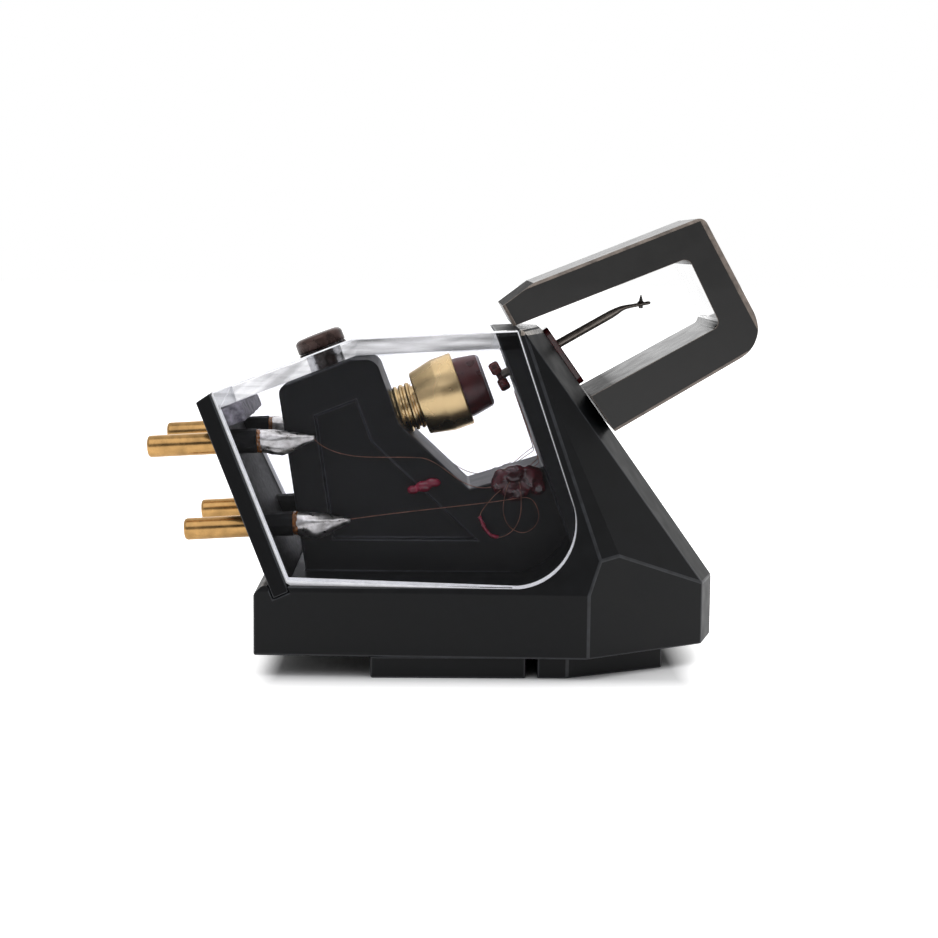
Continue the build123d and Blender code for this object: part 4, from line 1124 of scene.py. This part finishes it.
def studio():
    """Room light: a bright sweep behind, a dimmer room, and a dark card that the clear wall mirrors."""
    world = bpy.data.worlds.new("studio")
    world.use_nodes = True
    tree = world.node_tree
    tree.nodes.clear()
    way = add(tree, "ShaderNodeTexCoord").outputs["Generated"]
    depth = add(tree, "ShaderNodeSeparateXYZ", {0: way}).outputs["Y"]
    glossy = add(tree, "ShaderNodeLightPath").outputs["Is Glossy Ray"]
    wash = ranged(tree, depth, MEETING, (ROOM, ranged(tree, glossy, (0, 1), SWEEP_LEVELS)))
    facing = vector_calc(tree, "DOT_PRODUCT", way, CARD)
    card = ranged(tree, facing.outputs["Value"], CARD_EDGE, (1.0, CARD_SHARE))
    dimmed = calc(tree, "MULTIPLY", wash, card)
    room = add(tree, "ShaderNodeMix", {0: seen_rays(tree), 2: dimmed, 3: 1.0})
    sky = add(tree, "ShaderNodeBackground", {"Color": (1, 1, 1, 1), "Strength": room})
    add(tree, "ShaderNodeOutputWorld", {"Surface": sky})
    return world


class CARTRIDGE_OT_stage(bpy.types.Operator):
    """Makes the white floor, the studio light and the camera"""
    bl_idname = "cartridge.stage"
    bl_label = "Floor, light and camera"

    def execute(self, context):
        scene = context.scene
        scene.view_settings.view_transform = "Standard"
        data = bpy.data.cameras.new("camera")
        data.lens = FOCAL_PIXELS * SENSOR / PHOTO_PIXELS
        data.sensor_width = SENSOR
        data.clip_start, data.clip_end = 0.001, 10
        camera = scratch("camera", data)
        forward = Vector((math.sin(EYE_YAW) * math.cos(EYE_PITCH), math.cos(EYE_YAW) * math.cos(EYE_PITCH),
                          -math.sin(EYE_PITCH)))
        level = Vector((math.cos(EYE_YAW), -math.sin(EYE_YAW), 0))
        rise = level.cross(forward)
        right = level * math.cos(EYE_ROLL) + rise * math.sin(EYE_ROLL)
        up = rise * math.cos(EYE_ROLL) - level * math.sin(EYE_ROLL)
        camera.matrix_world = Matrix.Translation(AIM - forward * EYE_DEPTH) @ Matrix(
            (right, up, -forward)).transposed().to_4x4()
        scene.camera = camera

        corners = [(-1, -1, 0), (1, -1, 0), (1, 1, 0), (-1, 1, 0)]
        floor = scratch("floor", mesh_from(corners, [(0, 1, 2, 3)], "floor"))
        floor.data.materials.append(white_paper())
        scene.world = studio()
        for name, settings in LAMPS.items():
            lamp(name, *settings)
        return {"FINISHED"}


class CARTRIDGE_PT_panel(bpy.types.Panel):
    """Lists the settings and the steps that build the cartridge"""
    bl_idname = "CARTRIDGE_PT_panel"
    bl_label = "Phono cartridge"
    bl_space_type = "VIEW_3D"
    bl_region_type = "UI"
    bl_category = "Cartridge"

    def draw(self, context):
        for group in (context.scene.cartridge_moulding, context.scene.cartridge_metal):
            for name in type(group).__annotations__:
                self.layout.prop(group, name)
        for step in STEPS:
            self.layout.operator(step.bl_idname)


STEPS = (CARTRIDGE_OT_stage, CARTRIDGE_OT_frame, CARTRIDGE_OT_cover, CARTRIDGE_OT_screw,
         CARTRIDGE_OT_terminals, CARTRIDGE_OT_leads, CARTRIDGE_OT_generator, CARTRIDGE_OT_moving,
         CARTRIDGE_OT_guard)
CLASSES = (MouldingSettings, MetalSettings) + STEPS + (CARTRIDGE_PT_panel,)


def register():
    for cls in CLASSES:
        bpy.utils.register_class(cls)
    bpy.types.Scene.cartridge_moulding = bpy.props.PointerProperty(type=MouldingSettings)
    bpy.types.Scene.cartridge_metal = bpy.props.PointerProperty(type=MetalSettings)


def unregister():
    del bpy.types.Scene.cartridge_moulding
    del bpy.types.Scene.cartridge_metal
    for cls in reversed(CLASSES):
        bpy.utils.unregister_class(cls)


def main():
    register()
    for step in STEPS:
        group, name = step.bl_idname.split(".")
        getattr(getattr(bpy.ops, group), name)()


if __name__ == "__main__":
    main()
